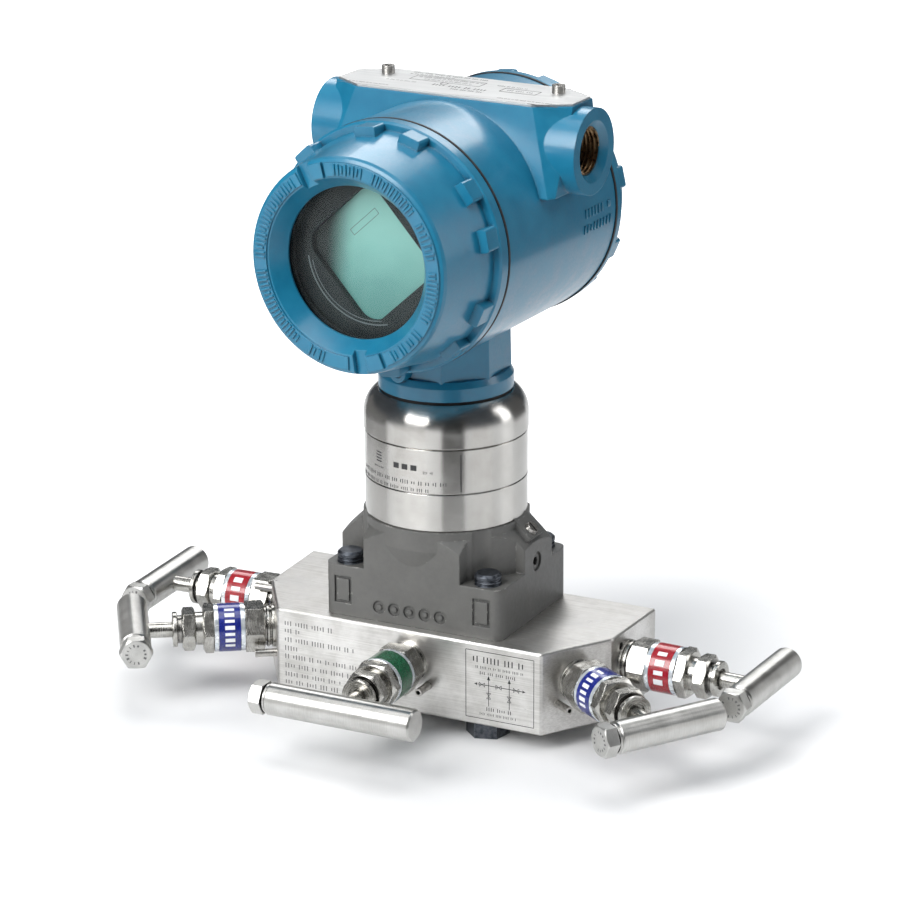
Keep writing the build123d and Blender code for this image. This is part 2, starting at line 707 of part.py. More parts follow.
with BuildPart() as nameplate_screws:
    for side in (-1, 1):
        with BuildSketch(raised(LEVEL, side * PLATE_SCREW_X, PLATE_Y + PLATE_SCREW_Y, PLATE_H)):
            Circle(PLATE_HEAD_R)
        extrude(amount=PLATE_HEAD_H)
        with BuildSketch(raised(LEVEL, side * PLATE_SCREW_X, PLATE_Y + PLATE_SCREW_Y, PLATE_H)):
            Circle(PLATE_SCREW_R - GAP)
        extrude(amount=-PLATE_SCREW_L)
        with BuildSketch(raised(LEVEL, side * PLATE_SCREW_X, PLATE_Y + PLATE_SCREW_Y, PLATE_H + PLATE_HEAD_H)):
            RegularPolygon(radius=PLATE_HEAD_R * 0.55, side_count=6)
        extrude(amount=-PLATE_HEAD_H / 2, mode=Mode.SUBTRACT)
save(nameplate_screws, "nameplate_screws")


def cover_half(points):
    # Revolve a half section of a cover round the barrel axis
    with BuildSketch(PROFILE) as half:
        with BuildLine():
            Polyline(*points, close=True)
        make_face()
    revolve(half.sketch, axis=BARREL_AXIS)


def cover_lugs(step, length):
    # Pairs of wrench lugs standing out from the rim
    direction = 1 if length > 0 else -1
    for i in range(2 * LUG_PAIRS):
        pair = LUG_START + (i // 2) * 360 / LUG_PAIRS
        turn = radians(pair + (2 * (i % 2) - 1) * LUG_HALF_PITCH)
        spot = FACE.from_local_coords((0, 0, -step))
        out = FACE.from_local_coords((cos(turn), sin(turn), -step)) - spot
        plane = Plane(origin=spot, x_dir=out, z_dir=FACE.z_dir)
        with BuildSketch(plane.offset(-direction * 1.0)) as pad:
            with Locations(((LUG_IN_R + LUG_OUT_R) / 2, 0)):
                RectangleRounded(LUG_OUT_R - LUG_IN_R, LUG_W, 1.2)
        extrude(pad.sketch, amount=length + direction)


LUG_IN_R = DRUM_R - 4.9
LUG_OUT_R = RIM_R - 0.6
face_y = FRONT_SEAM - COVER_LEN
rim_y = FRONT_SEAM - COVER_GAP
glass_y = face_y + WINDOW_DEPTH
GLASS_R = WINDOW_R + 4.4
BAND_IN = WINDOW_MOUTH_R + 0.7
BAND_OUT = FACE_R - 1.1
FACE_BANDS = [
    (-64, 103, BAND_IN, BAND_OUT, 0.7),
    (122.5, 271, BAND_IN, BAND_OUT, 0.7),
    (104.5, 113, BAND_IN - 0.3, BAND_OUT + 0.5, 1.3),
    (-76, -66, BAND_IN - 0.3, BAND_OUT + 0.5, 1.3),
]
FACE_GROOVES = [117.5, -82]
GROOVE_W = 5.4
GROOVE_DEPTH = 2.4
with BuildPart() as display_cover:
    cover_half(
        [
            (rim_y, RIM_R - 0.5),
            (rim_y - 0.5, RIM_R),
            (rim_y - STEP_W + 0.8, RIM_R),
            (rim_y - STEP_W, RIM_R - 0.8),
            (rim_y - STEP_W, DRUM_R),
            (face_y + 2.2, FACE_R + 0.9),
            (face_y + 0.7, FACE_R + 0.3),
            (face_y, FACE_R - 0.9),
            (face_y, WINDOW_MOUTH_R),
            (glass_y - 0.8, WINDOW_R),
            (glass_y, WINDOW_R),
            (glass_y, GLASS_R + GAP),
            (glass_y + GLASS_T, GLASS_R + GAP),
            (glass_y + GLASS_T, COVER_BORE_R),
            (FRONT_SEAM + SPIGOT_L, COVER_BORE_R),
            (FRONT_SEAM + SPIGOT_L, BORE_R - GAP),
            (rim_y, BORE_R - GAP),
        ]
    )
    cover_lugs(rim_y - STEP_W, LUG_L)
    with BuildSketch(FACE.offset(-(glass_y + GLASS_T))):
        Circle(COVER_BORE_R)
    extrude(amount=-40, mode=Mode.SUBTRACT)
    # Two raised bands on the face, two grooves between them and a pad beside each
    for low, high, r_in, r_out, rise in FACE_BANDS:
        with BuildSketch(FACE.offset(-face_y - 0.5)) as band_face:
            with BuildLine():
                CenterArc((0, 0), r_out, low, high - low)
                CenterArc((0, 0), r_in, low, high - low)
                for a in (low, high):
                    Line((r_in * cos(radians(a)), r_in * sin(radians(a))),
                         (r_out * cos(radians(a)), r_out * sin(radians(a))))
            make_face()
        extrude(amount=0.5 + rise)
    for a in FACE_GROOVES:
        turn = radians(a)
        out = FACE.from_local_coords((cos(turn), sin(turn), 0)) - FACE.origin
        groove = Plane(origin=FACE.origin, x_dir=out, z_dir=FACE.z_dir)
        with BuildSketch(groove.offset(-face_y + 2)):
            with Locations(((WINDOW_MOUTH_R + FACE_R) / 2, 0)):
                Rectangle(FACE_R - WINDOW_MOUTH_R + 4, GROOVE_W)
        extrude(amount=-2 - GROOVE_DEPTH, mode=Mode.SUBTRACT)
save(display_cover, "display_cover")

with BuildPart() as window_glass:
    with BuildSketch(FACE.offset(-glass_y - 0.1)):
        Circle(GLASS_R)
    extrude(amount=-(GLASS_T - 0.1))
save(window_glass, "window_glass")

RETAINER_T = 1.6
with BuildPart() as window_retainer:
    with BuildSketch(FACE.offset(-(glass_y + GLASS_T))):
        Circle(COVER_BORE_R - SEAL_GAP)
        Circle(WINDOW_R + 1.4, mode=Mode.SUBTRACT)
    extrude(amount=-RETAINER_T)
save(window_retainer, "window_retainer")

for node, low in (("front_o_ring", rim_y + 0.02), ("rear_o_ring", REAR_SEAM + SEAL_GAP)):
    with BuildPart() as o_ring:
        with BuildSketch(FACE.offset(-low)):
            Circle(RIM_R - 0.6)
            Circle(BORE_R + 0.4, mode=Mode.SUBTRACT)
        extrude(amount=-(COVER_GAP - SEAL_GAP - 0.02))
    save(o_ring, node)

rear_rim = REAR_SEAM + COVER_GAP
rear_end = REAR_SEAM + REAR_LEN
with BuildPart() as rear_cover:
    cover_half(
        [
            (rear_rim, RIM_R - 0.5),
            (rear_rim + 0.5, RIM_R),
            (rear_rim + REAR_STEP_W - 0.8, RIM_R),
            (rear_rim + REAR_STEP_W, RIM_R - 0.8),
            (rear_rim + REAR_STEP_W, DRUM_R),
            (rear_end - 2.2, DRUM_R - 1.4),
            (rear_end - 0.7, DRUM_R - 2.0),
            (rear_end, DRUM_R - 3.2),
            (rear_end, 0),
            (rear_end - 6.0, 0),
            (rear_end - 6.0, COVER_BORE_R),
            (REAR_SEAM - SPIGOT_L, COVER_BORE_R),
            (REAR_SEAM - SPIGOT_L, BORE_R - GAP),
            (rear_rim, BORE_R - GAP),
        ]
    )
    cover_lugs(rear_rim + REAR_STEP_W, -REAR_LUG_L)
    with BuildSketch(FACE.offset(-(REAR_SEAM - SPIGOT_L))):
        Circle(COVER_BORE_R)
    extrude(amount=-(SPIGOT_L + REAR_LEN - 6.0), mode=Mode.SUBTRACT)
save(rear_cover, "rear_cover")

# Display and electronics in the front compartment
DISPLAY_R = COVER_BORE_R - 2.1
display_front = glass_y + GLASS_T + RETAINER_T + 1.0
BEZEL_T = 3.0
LCD_HALF = 22.0
LCD_NARROW = 20.2
LCD_CORNER_R = 8.0
LCD_TURN = 42.0
LCD_MARGIN = 2.5
lcd_shift = LCD_HALF - LCD_NARROW
lcd_centre = (lcd_shift * cos(radians(LCD_TURN)), lcd_shift * sin(radians(LCD_TURN)))
with BuildPart() as display_bezel:
    with BuildSketch(FACE.offset(-display_front)):
        Circle(DISPLAY_R)
        with Locations(lcd_centre):
            RectangleRounded(2 * LCD_NARROW, 2 * LCD_HALF, LCD_CORNER_R, rotation=LCD_TURN,
                             mode=Mode.SUBTRACT)
    extrude(amount=-BEZEL_T)
save(display_bezel, "display_bezel")

LCD_T = 2.0
lcd_y = display_front + BEZEL_T
with BuildPart() as lcd_panel:
    with BuildSketch(FACE.offset(-lcd_y - 0.05)):
        Rectangle(2 * (LCD_HALF + LCD_MARGIN), 2 * (LCD_HALF + LCD_MARGIN), rotation=LCD_TURN)
    extrude(amount=-LCD_T)
save(lcd_panel, "lcd_panel")

display_back = lcd_y + 14.0
with BuildPart() as display_body:
    with BuildSketch(FACE.offset(-lcd_y - SEAL_GAP)):
        Circle(DISPLAY_R)
        Rectangle(2 * (LCD_HALF + LCD_MARGIN + SEAL_GAP), 2 * (LCD_HALF + LCD_MARGIN + SEAL_GAP),
                  rotation=LCD_TURN, mode=Mode.SUBTRACT)
    extrude(amount=-LCD_T)
    with BuildSketch(FACE.offset(-lcd_y - SEAL_GAP + LCD_T * -1)):
        Circle(DISPLAY_R)
    extrude(amount=-(display_back - lcd_y - LCD_T))
save(display_body, "display_body")

PACK_R = DISPLAY_R - 1.5
PACK_NOTCH_W = 22.0
PACK_NOTCH_D = 2.0
with BuildPart() as electronics_pack:
    with BuildSketch(FACE.offset(-(display_back + 0.5))):
        Circle(PACK_R)
        with Locations((0, -PACK_R)):
            Rectangle(PACK_NOTCH_W, 2 * PACK_NOTCH_D, mode=Mode.SUBTRACT)
    extrude(amount=-(WALL_FRONT - display_back - 0.6))
save(electronics_pack, "electronics_pack")

# Terminals in the rear compartment
TERMINAL_Y = 27.0
TERMINAL_T = 9.0
TERMINAL_STEP_X = 15.0
TERMINAL_STEP_Y = 9.0
TERMINAL_SPOTS = [
    (-TERMINAL_STEP_X, -TERMINAL_STEP_Y),
    (0, -TERMINAL_STEP_Y),
    (TERMINAL_STEP_X, -TERMINAL_STEP_Y),
    (-TERMINAL_STEP_X, TERMINAL_STEP_Y),
    (TERMINAL_STEP_X, TERMINAL_STEP_Y),
]
TERMINAL_RISE = 5.0
TERMINAL_SHANK_R = 2.1
TERMINAL_SHANK_L = 7.5
TERMINAL_HEAD_R = 4.4
TERMINAL_HEAD_H = 2.6
TERMINAL_SLOT_W = 1.1
TERMINAL_SLOT_D = 1.2
terminal_top = TERMINAL_Y + TERMINAL_T + TERMINAL_RISE
with BuildPart() as terminal_block:
    with BuildSketch(FACE.offset(-TERMINAL_Y)):
        Circle(BORE_R - SEAL_GAP)
    extrude(amount=-TERMINAL_T)
    with BuildSketch(FACE.offset(-(TERMINAL_Y + TERMINAL_T))):
        Rectangle(2 * TERMINAL_STEP_X + 16, 2 * TERMINAL_STEP_Y + 16)
    extrude(amount=-TERMINAL_RISE)
    with BuildSketch(FACE.offset(-terminal_top)):
        with Locations(*TERMINAL_SPOTS):
            Circle(TERMINAL_SHANK_R)
    extrude(amount=TERMINAL_SHANK_L + 0.5, mode=Mode.SUBTRACT)
save(terminal_block, "terminal_block")

with BuildPart() as terminal_screws:
    with BuildSketch(FACE.offset(-terminal_top)):
        with Locations(*TERMINAL_SPOTS):
            Circle(TERMINAL_HEAD_R)
    extrude(amount=-TERMINAL_HEAD_H)
    with BuildSketch(FACE.offset(-terminal_top)):
        with Locations(*TERMINAL_SPOTS):
            Circle(TERMINAL_SHANK_R - GAP)
    extrude(amount=TERMINAL_SHANK_L)
    with BuildSketch(FACE.offset(-(terminal_top + TERMINAL_HEAD_H))):
        with Locations(*TERMINAL_SPOTS):
            Rectangle(2 * TERMINAL_HEAD_R + 1, TERMINAL_SLOT_W)
    extrude(amount=TERMINAL_SLOT_D, mode=Mode.SUBTRACT)
save(terminal_screws, "terminal_screws")

# Valves: bonnet, colour band, lock nut, packing nut, stem, handle bar and handle screw
HEX1_LOW = 4.5
HEX1_TOP = 12.5
TUBE_TOP = 25.8
HEX2_LOW = 26.0
HEX2_TOP = 30.3
BONNET_TOP = 33.4
HEX3_LOW = 33.5
HEX3_TOP = 39.0
GLAND_LOW = 41.0
GLAND_TOP = 43.0
GLAND_R = 7.4
BAND_LOW = 14.7
BAND_HIGH = 23.8
STEM_TIP = -9.0
STEM_CORE = 2.0
SCREW_SHANK_R = 3.2
SCREW_SHANK_L = 12.0


def chamfered_hex(plane, across_flats, low, high, trims):
    # Hexagon with its corners turned off at one or both ends
    with BuildSketch(plane.offset(low)) as flats:
        RegularPolygon(radius=across_flats / 2, side_count=6, major_radius=False)
    extrude(flats.sketch, amount=high - low)
    reach = across_flats / 2 / cos(radians(30)) + 0.5
    drop = (reach - across_flats / 2 * 0.97) * tan(radians(30))
    half = Plane(origin=plane.origin, x_dir=plane.x_dir, z_dir=-plane.y_dir)
    for end, sign in trims:
        with BuildSketch(half) as trim:
            with BuildLine():
                Polyline(
                    (across_flats / 2 * 0.97, end),
                    (reach, end),
                    (reach, end - sign * drop),
                    close=True,
                )
            make_face()
        revolve(trim.sketch, axis=Axis(plane.origin, plane.z_dir), mode=Mode.SUBTRACT)


def turned(plane, points, mode=Mode.ADD):
    # Revolve (radius, height) points round the plane's normal
    half = Plane(origin=plane.origin, x_dir=plane.x_dir, z_dir=-plane.y_dir)
    with BuildSketch(half) as section:
        with BuildLine():
            Polyline(*points, close=True)
        make_face()
    revolve(section.sketch, axis=Axis(plane.origin, plane.z_dir), mode=mode)


for valve in SEATS:
    seat, bar_length, bar_shift = SEATS[valve]
    with BuildPart() as bonnet:
        turned(
            seat,
            [
                (STEM_R + GAP, -VALVE_BORE_DEPTH + 1),
                (VALVE_BORE_R - GAP, -VALVE_BORE_DEPTH + 1),
                (VALVE_BORE_R - GAP, 0),
                (9.1, 0),
                (9.1, 1.3),
                (8.3, 1.7),
                (8.3, 2.1),
                (8.9, 2.5),
                (8.9, 3.3),
                (8.3, 3.7),
                (8.3, HEX1_LOW),
                (8.6, HEX1_LOW),
                (8.6, HEX1_TOP),
                (TUBE_R, HEX1_TOP),
                (TUBE_R, TUBE_TOP),
                (NECK_R, TUBE_TOP),
                (NECK_R, BONNET_TOP),
                (STEM_R + GAP, BONNET_TOP),
            ],
        )
        with BuildSketch(seat.offset(HEX1_LOW)):
            RegularPolygon(radius=HEX1_AF / 2, side_count=6, major_radius=False)
            Circle(8.5, mode=Mode.SUBTRACT)
        extrude(amount=HEX1_TOP - HEX1_LOW)
        reach = HEX1_AF / 2 / cos(radians(30)) + 0.5
        flat = HEX1_AF / 2 * 1.01
        rise = (reach - flat) * tan(radians(30))
        turned(seat, [(flat, HEX1_LOW), (reach, HEX1_LOW), (reach, HEX1_LOW + rise)], Mode.SUBTRACT)
    save(bonnet, valve + "_bonnet")

    with BuildPart() as band:
        with BuildSketch(seat.offset(BAND_LOW)):
            Circle(BAND_R + 0.1)
            Circle(TUBE_R + 0.02, mode=Mode.SUBTRACT)
        extrude(amount=BAND_HIGH - BAND_LOW)
    save(band, valve + "_band")

    with BuildPart() as lock_nut:
        chamfered_hex(seat, HEX2_AF, HEX2_LOW, HEX2_TOP, [(HEX2_TOP, 1)])
        with BuildSketch(seat.offset(HEX2_LOW - 1)):
            Circle(NECK_R + GAP)
        extrude(amount=HEX2_TOP - HEX2_LOW + 2, mode=Mode.SUBTRACT)
    save(lock_nut, valve + "_lock_nut")

    with BuildPart() as packing_nut:
        chamfered_hex(seat, HEX3_AF, HEX3_LOW, HEX3_TOP, [(HEX3_TOP, 1), (HEX3_LOW, -1)])
        turned(
            seat,
            [
                (0, HEX3_TOP - 1),
                (5.9, HEX3_TOP - 1),
                (5.9, GLAND_LOW),
                (GLAND_R - 0.3, GLAND_LOW),
                (GLAND_R, GLAND_LOW + 0.3),
                (GLAND_R, GLAND_TOP - 0.3),
                (GLAND_R - 0.3, GLAND_TOP),
                (0, GLAND_TOP),
            ],
        )
        with BuildSketch(seat.offset(HEX3_LOW - 1)):
            Circle(STEM_R + GAP)
        extrude(amount=GLAND_TOP - HEX3_LOW + 2, mode=Mode.SUBTRACT)
        with BuildSketch(seat.offset(GLAND_TOP - 1.2)):
            Circle(STEM_R + 1.2)
        extrude(amount=2, mode=Mode.SUBTRACT)
    save(packing_nut, valve + "_packing_nut")

    with BuildPart() as stem:
        turned(
            seat,
            [
                (0, STEM_TIP - 3),
                (STEM_R, STEM_TIP),
                (STEM_R, BAR_H + STEM_CORE - 0.2),
                (0, BAR_H + STEM_CORE - 0.2),
            ],
        )
    save(stem, valve + "_stem")

    bar_start = seat.from_local_coords((bar_shift - bar_length / 2, 0, BAR_H))
    BAR_END = Plane(origin=bar_start, x_dir=seat.z_dir, z_dir=seat.x_dir)
    with BuildPart() as handle_bar:
        turned(
            BAR_END,
            [
                (0, 0),
                (BAR_R - 0.9, 0),
                (BAR_R, 0.6),
                (BAR_R, bar_length - 0.7),
                (BAR_R - 0.7, bar_length),
                (0, bar_length),
            ],
        )
        with BuildSketch(seat.offset(BAR_H - BAR_R - 1)):
            Circle(STEM_R + GAP)
        extrude(amount=BAR_R + 1 + STEM_CORE, mode=Mode.SUBTRACT)
        with BuildSketch(BAR_END.offset(-1)):
            Circle(SCREW_SHANK_R + GAP)
        extrude(amount=SCREW_SHANK_L + 1.5, mode=Mode.SUBTRACT)
    save(handle_bar, valve + "_handle_bar")

    with BuildPart() as handle_screw:
        turned(
            BAR_END,
            [
                (0, -SCREW_NECK_H - 1),
                (4.6, -SCREW_NECK_H - 1),
                (4.6, -0.9),
                (6.0, -0.9),
                (6.0, 0),
                (SCREW_SHANK_R, 0),
                (SCREW_SHANK_R, SCREW_SHANK_L),
                (0, SCREW_SHANK_L),
            ],
        )
        chamfered_hex(
            BAR_END, SCREW_AF, -SCREW_NECK_H - SCREW_HEAD_H, -SCREW_NECK_H,
            [(-SCREW_NECK_H - SCREW_HEAD_H, -1)]
        )
    save(handle_screw, valve + "_handle_screw")
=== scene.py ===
import json
import math
import random

import bmesh
import bpy
from mathutils import Matrix, Vector


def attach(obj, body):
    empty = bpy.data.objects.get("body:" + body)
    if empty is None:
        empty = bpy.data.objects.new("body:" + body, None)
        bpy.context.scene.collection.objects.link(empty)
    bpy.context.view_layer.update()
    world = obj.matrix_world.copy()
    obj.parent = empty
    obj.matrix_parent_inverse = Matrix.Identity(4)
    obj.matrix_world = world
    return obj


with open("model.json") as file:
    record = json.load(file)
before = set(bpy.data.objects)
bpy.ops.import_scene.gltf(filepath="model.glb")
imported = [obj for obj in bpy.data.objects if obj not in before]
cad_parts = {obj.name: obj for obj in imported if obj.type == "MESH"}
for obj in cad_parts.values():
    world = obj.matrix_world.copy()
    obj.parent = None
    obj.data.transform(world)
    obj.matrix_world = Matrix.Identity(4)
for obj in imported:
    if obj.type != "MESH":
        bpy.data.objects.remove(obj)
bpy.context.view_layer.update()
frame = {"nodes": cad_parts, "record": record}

nodes = frame["nodes"]
scene = bpy.context.scene
print("frame loaded:", len(nodes), "nodes")

# Lengths of the pieces and cards are written in millimetres, as in the solids, and turned to metres.
# The camera, floor and lamps are in metres
mm = 0.001

# Axes and radii that the pieces are set out on; the housing is turned a little to the block
housingYaw = math.radians(-2.4)
housingAcross = Vector((math.cos(housingYaw), math.sin(housingYaw), 0))
housingBack = Vector((-math.sin(housingYaw), math.cos(housingYaw), 0))
frontward = -housingBack
upward = Vector((0, 0, 1))
housingCentre = Vector((0, 0, 199.3 * mm))
barrelRadius = 50.4
moduleRadius = 33.5
cameraward = Vector((0.424, -0.848, 0.317))

# Plan of the block's right half, mirrored on the left: a bevelled corner runs from cornerFront to cornerSide,
# and the end face leans out from there to cornerBack
cornerFront = (60.7, -36.7)
cornerSide = (79.4, -8.1)
cornerBack = (81.0, 31.7)
bevelAngle = math.atan2(cornerSide[1] - cornerFront[1], cornerSide[0] - cornerFront[0])
endLean = math.atan2(cornerBack[0] - cornerSide[0], cornerBack[1] - cornerSide[1])


def seatFrame(x, y, z, turn, side=1):
    # Seat of a valve: the way out of the block and the way its handle bar lies, turned from the front face
    return {
        "origin": Vector((side * x, y, z)) * mm,
        "out": Vector((side * math.sin(turn), -math.cos(turn), 0)),
        "bar": Vector((side * math.cos(turn), math.sin(turn), 0)),
    }


seats = {
    "equaliseHeight": 21.8,
    "isolateHeight": 21.1, "isolateShift": 0.6,  # along the bevel from its middle
    "ventHeight": 21.7, "ventDepth": 4.4,
}
isolateX = (cornerFront[0] + cornerSide[0]) / 2 + seats["isolateShift"] * math.cos(bevelAngle)
isolateY = (cornerFront[1] + cornerSide[1]) / 2 + seats["isolateShift"] * math.sin(bevelAngle)
ventX = cornerSide[0] + (seats["ventDepth"] - cornerSide[1]) * math.tan(endLean)
valves = {"equalise": seatFrame(0, cornerFront[1], seats["equaliseHeight"], 0)}
for sideName, side in (("right", 1), ("left", -1)):
    valves[sideName + "_isolate"] = seatFrame(isolateX, isolateY, seats["isolateHeight"], bevelAngle, side)
for sideName, side in (("right", 1), ("left", -1)):
    valves[sideName + "_vent"] = seatFrame(
        ventX, seats["ventDepth"], seats["ventHeight"], math.pi / 2 - endLean, side)

handleBars = {
    "out": 59.0,  # from the seat to the bar's axis
    "lengths": {"equalise": 65.0, "isolate": 48.6, "vent": 48.6},
    "shifts": {"equalise": 1.6, "isolate": 4.2, "vent": 5.4},
}


# Shader building
class Shader:
    # A node tree with short calls for the nodes that the materials below share
    def __init__(self, name):
        self.material = bpy.data.materials.new(name)
        self.material.use_nodes = True
        self.tree = self.material.node_tree
        self.tree.nodes.clear()
        self.output = self.add("ShaderNodeOutputMaterial")
        self.coords = self.add("ShaderNodeTexCoord").outputs["Object"]

    def add(self, kind, **settings):
        node = self.tree.nodes.new(kind)
        for key, value in settings.items():
            setattr(node, key, value)
        return node

    def link(self, source, target):
        self.tree.links.new(source, target)

    def feed(self, socket, value):
        if isinstance(value, bpy.types.NodeSocket):
            self.link(value, socket)
        elif isinstance(value, (tuple, list)) and len(value) == 3 and socket.type == "RGBA":
            socket.default_value = (*value, 1)
        else:
            socket.default_value = value

    def math(self, operation, first, second=0.0):
        node = self.add("ShaderNodeMath", operation=operation)
        self.feed(node.inputs[0], first)
        self.feed(node.inputs[1], second)
        return node.outputs[0]

    def stretched(self, scale):
        node = self.add("ShaderNodeMapping")
        self.link(self.coords, node.inputs["Vector"])
        node.inputs["Scale"].default_value = scale
        return node.outputs[0]

    def noise(self, scale, detail=2.0, roughness=0.5, vector=None):
        node = self.add("ShaderNodeTexNoise")
        self.link(self.coords if vector is None else vector, node.inputs["Vector"])
        node.inputs["Scale"].default_value = scale
        node.inputs["Detail"].default_value = detail
        node.inputs["Roughness"].default_value = roughness
        return node.outputs[0]

    def lines(self, value, scale):
        # One-way noise along a single number, for turning marks
        node = self.add("ShaderNodeTexNoise", noise_dimensions="1D")
        self.link(value, node.inputs["W"])
        node.inputs["Scale"].default_value = scale
        node.inputs["Detail"].default_value = 3.0
        node.inputs["Roughness"].default_value = 0.65
        return node.outputs[0]

    def voronoi(self, scale):
        node = self.add("ShaderNodeTexVoronoi", feature="F1")
        self.link(self.coords, node.inputs["Vector"])
        node.inputs["Scale"].default_value = scale
        return node.outputs["Distance"]

    def ramp(self, value, low, high, start=0.0, end=1.0):
        node = self.add("ShaderNodeMapRange", interpolation_type="SMOOTHSTEP")
        self.feed(node.inputs["Value"], value)
        node.inputs["From Min"].default_value = low
        node.inputs["From Max"].default_value = high
        node.inputs["To Min"].default_value = start
        node.inputs["To Max"].default_value = end
        return node.outputs[0]

    def blendColour(self, factor, first, second):
        node = self.add("ShaderNodeMix", data_type="RGBA")
        self.feed(node.inputs[0], factor)
        self.feed(node.inputs[6], first)
        self.feed(node.inputs[7], second)
        return node.outputs[2]

    def bump(self, height, distance, strength=1.0, normal=None):
        node = self.add("ShaderNodeBump")
        self.link(height, node.inputs["Height"])
        node.inputs["Distance"].default_value = distance
        node.inputs["Strength"].default_value = strength
        if normal is not None:
            self.link(normal, node.inputs["Normal"])
        return node.outputs[0]

    def rounded(self, radius):
        node = self.add("ShaderNodeBevel", samples=4)
        node.inputs["Radius"].default_value = radius
        return node.outputs[0]

    def edges(self, roundedNormal, low=0.02, high=0.25):
        # 1 where the rounded normal leaves the flat one, so along the edges
        geometry = self.add("ShaderNodeNewGeometry")
        dot = self.add("ShaderNodeVectorMath", operation="DOT_PRODUCT")
        self.link(roundedNormal, dot.inputs[0])
        self.link(geometry.outputs["Normal"], dot.inputs[1])
        return self.ramp(self.math("SUBTRACT", 1.0, dot.outputs["Value"]), low, high)

    # Ambient occlusion, low in crevices and recesses: the materials below darken their colour by it, as
    # painted shade
    def crevices(self, distance):
        node = self.add("ShaderNodeAmbientOcclusion", samples=4, only_local=True)
        node.inputs["Distance"].default_value = distance
        return node.outputs["AO"]

    def axial(self, origin, axis):
        # Distance along an axis, and distance out from it
        offset = self.add("ShaderNodeVectorMath", operation="SUBTRACT")
        self.link(self.coords, offset.inputs[0])
        offset.inputs[1].default_value = origin
        along = self.add("ShaderNodeVectorMath", operation="DOT_PRODUCT")
        self.link(offset.outputs[0], along.inputs[0])
        along.inputs[1].default_value = axis
        length = self.add("ShaderNodeVectorMath", operation="LENGTH")
        self.link(offset.outputs[0], length.inputs[0])
        square = self.math("MULTIPLY", length.outputs["Value"], length.outputs["Value"])
        alongSquare = self.math("MULTIPLY", along.outputs["Value"], along.outputs["Value"])
        radius = self.math("SQRT", self.math("MAXIMUM", self.math("SUBTRACT", square, alongSquare), 0.0))
        return along.outputs["Value"], radius

    def grainWay(self, direction):
        # A direction fixed to the piece, along which its reflections are drawn out
        node = self.add(
            "ShaderNodeVectorTransform", vector_type="VECTOR", convert_from="OBJECT", convert_to="WORLD")
        node.inputs[0].default_value = direction
        return node.outputs[0]

    def principled(self, **inputs):
        node = self.add("ShaderNodeBsdfPrincipled")
        for key, value in inputs.items():
            self.feed(node.inputs[key.replace("_", " ")], value)
        return node

    def finish(self, surface):
        self.link(surface.outputs[0], self.output.inputs["Surface"])
        return self.material


def turnedSteel(name, origin, axis, look):
    # Turned or ground stainless: fine rings round an axis, with cloudy wear
    s = Shader(name)
    along, radius = s.axial(origin, axis)
    rings = s.lines(s.math("ADD", along, s.math("MULTIPLY", radius, 0.83)), look["ringsPerMetre"])
    cloud = s.noise(look["cloudScale"], 4, 0.6)
    fine = s.noise(2600, 2, 0.6)
    normal = s.bump(rings, look["ringDepth"], 0.35, s.rounded(look["edge"]))
    normal = s.bump(fine, 0.00001, 0.25, normal)
    tone = s.math("ADD", s.math("MULTIPLY", rings, 0.45), s.math("MULTIPLY", cloud, 0.55))
    colour = s.blendColour(s.ramp(tone, 0.3, 0.7), look["dark"], look["light"])
    # Painted shade: the colour darkens towards a near-black shade colour where ambient occlusion finds
    # crevices and recesses
    creviceShade = s.ramp(s.crevices(look["creviceShadeReach"]), 0.25, 0.8)
    colour = s.blendColour(creviceShade, look["creviceShade"], colour)
    rough = s.ramp(tone, 0.25, 0.75, look["roughLow"], look["roughHigh"])
    return s.finish(s.principled(
        Base_Color=colour, Metallic=1.0, Roughness=rough, Anisotropic=look["anisotropic"],
        Tangent=s.grainWay(axis), Normal=normal))


# In each look, the crevice colour and its reach are painted shade, laid into crevices by ambient occlusion
steelLooks = {
    "module": {
        "ringsPerMetre": 5200, "cloudScale": 90, "ringDepth": 0.00002, "edge": 0.0005, "anisotropic": 0.85,
        "dark": (0.50, 0.485, 0.46), "light": (0.66, 0.65, 0.625), "creviceShade": (0.08, 0.075, 0.07),
        "creviceShadeReach": 0.0015, "roughLow": 0.2, "roughHigh": 0.27,
    },
    "valve": {
        "ringsPerMetre": 3600, "cloudScale": 260, "ringDepth": 0.00003, "edge": 0.0004, "anisotropic": 0.6,
        "dark": (0.36, 0.35, 0.32), "light": (0.62, 0.61, 0.58), "creviceShade": (0.035, 0.032, 0.03),
        "creviceShadeReach": 0.004, "roughLow": 0.2, "roughHigh": 0.32,
    },
    "handle": {
        "ringsPerMetre": 3000, "cloudScale": 130, "ringDepth": 0.00003, "edge": 0.0005, "anisotropic": 0.8,
        "dark": (0.47, 0.465, 0.445), "light": (0.64, 0.635, 0.615), "creviceShade": (0.05, 0.045, 0.04),
        "creviceShadeReach": 0.002, "roughLow": 0.29, "roughHigh": 0.39,
    },
    "small": {
        "ringsPerMetre": 4000, "cloudScale": 500, "ringDepth": 0.00002, "edge": 0.0003, "anisotropic": 0.0,
        "dark": (0.36, 0.35, 0.33), "light": (0.62, 0.6, 0.57), "creviceShade": (0.05, 0.05, 0.045),
        "creviceShadeReach": 0.0012, "roughLow": 0.22, "roughHigh": 0.38,
    },
}

# The crevice colour is painted shade, laid into crevices and recesses by ambient occlusion
manifoldLook = {
    "dark": (0.47, 0.46, 0.44), "light": (0.74, 0.73, 0.71), "creviceShade": (0.13, 0.12, 0.11),
    "grain": (26, 900, 2100), "grainDepth": 0.00003, "edge": 0.0007, "roughLow": 0.26, "roughHigh": 0.46,
}


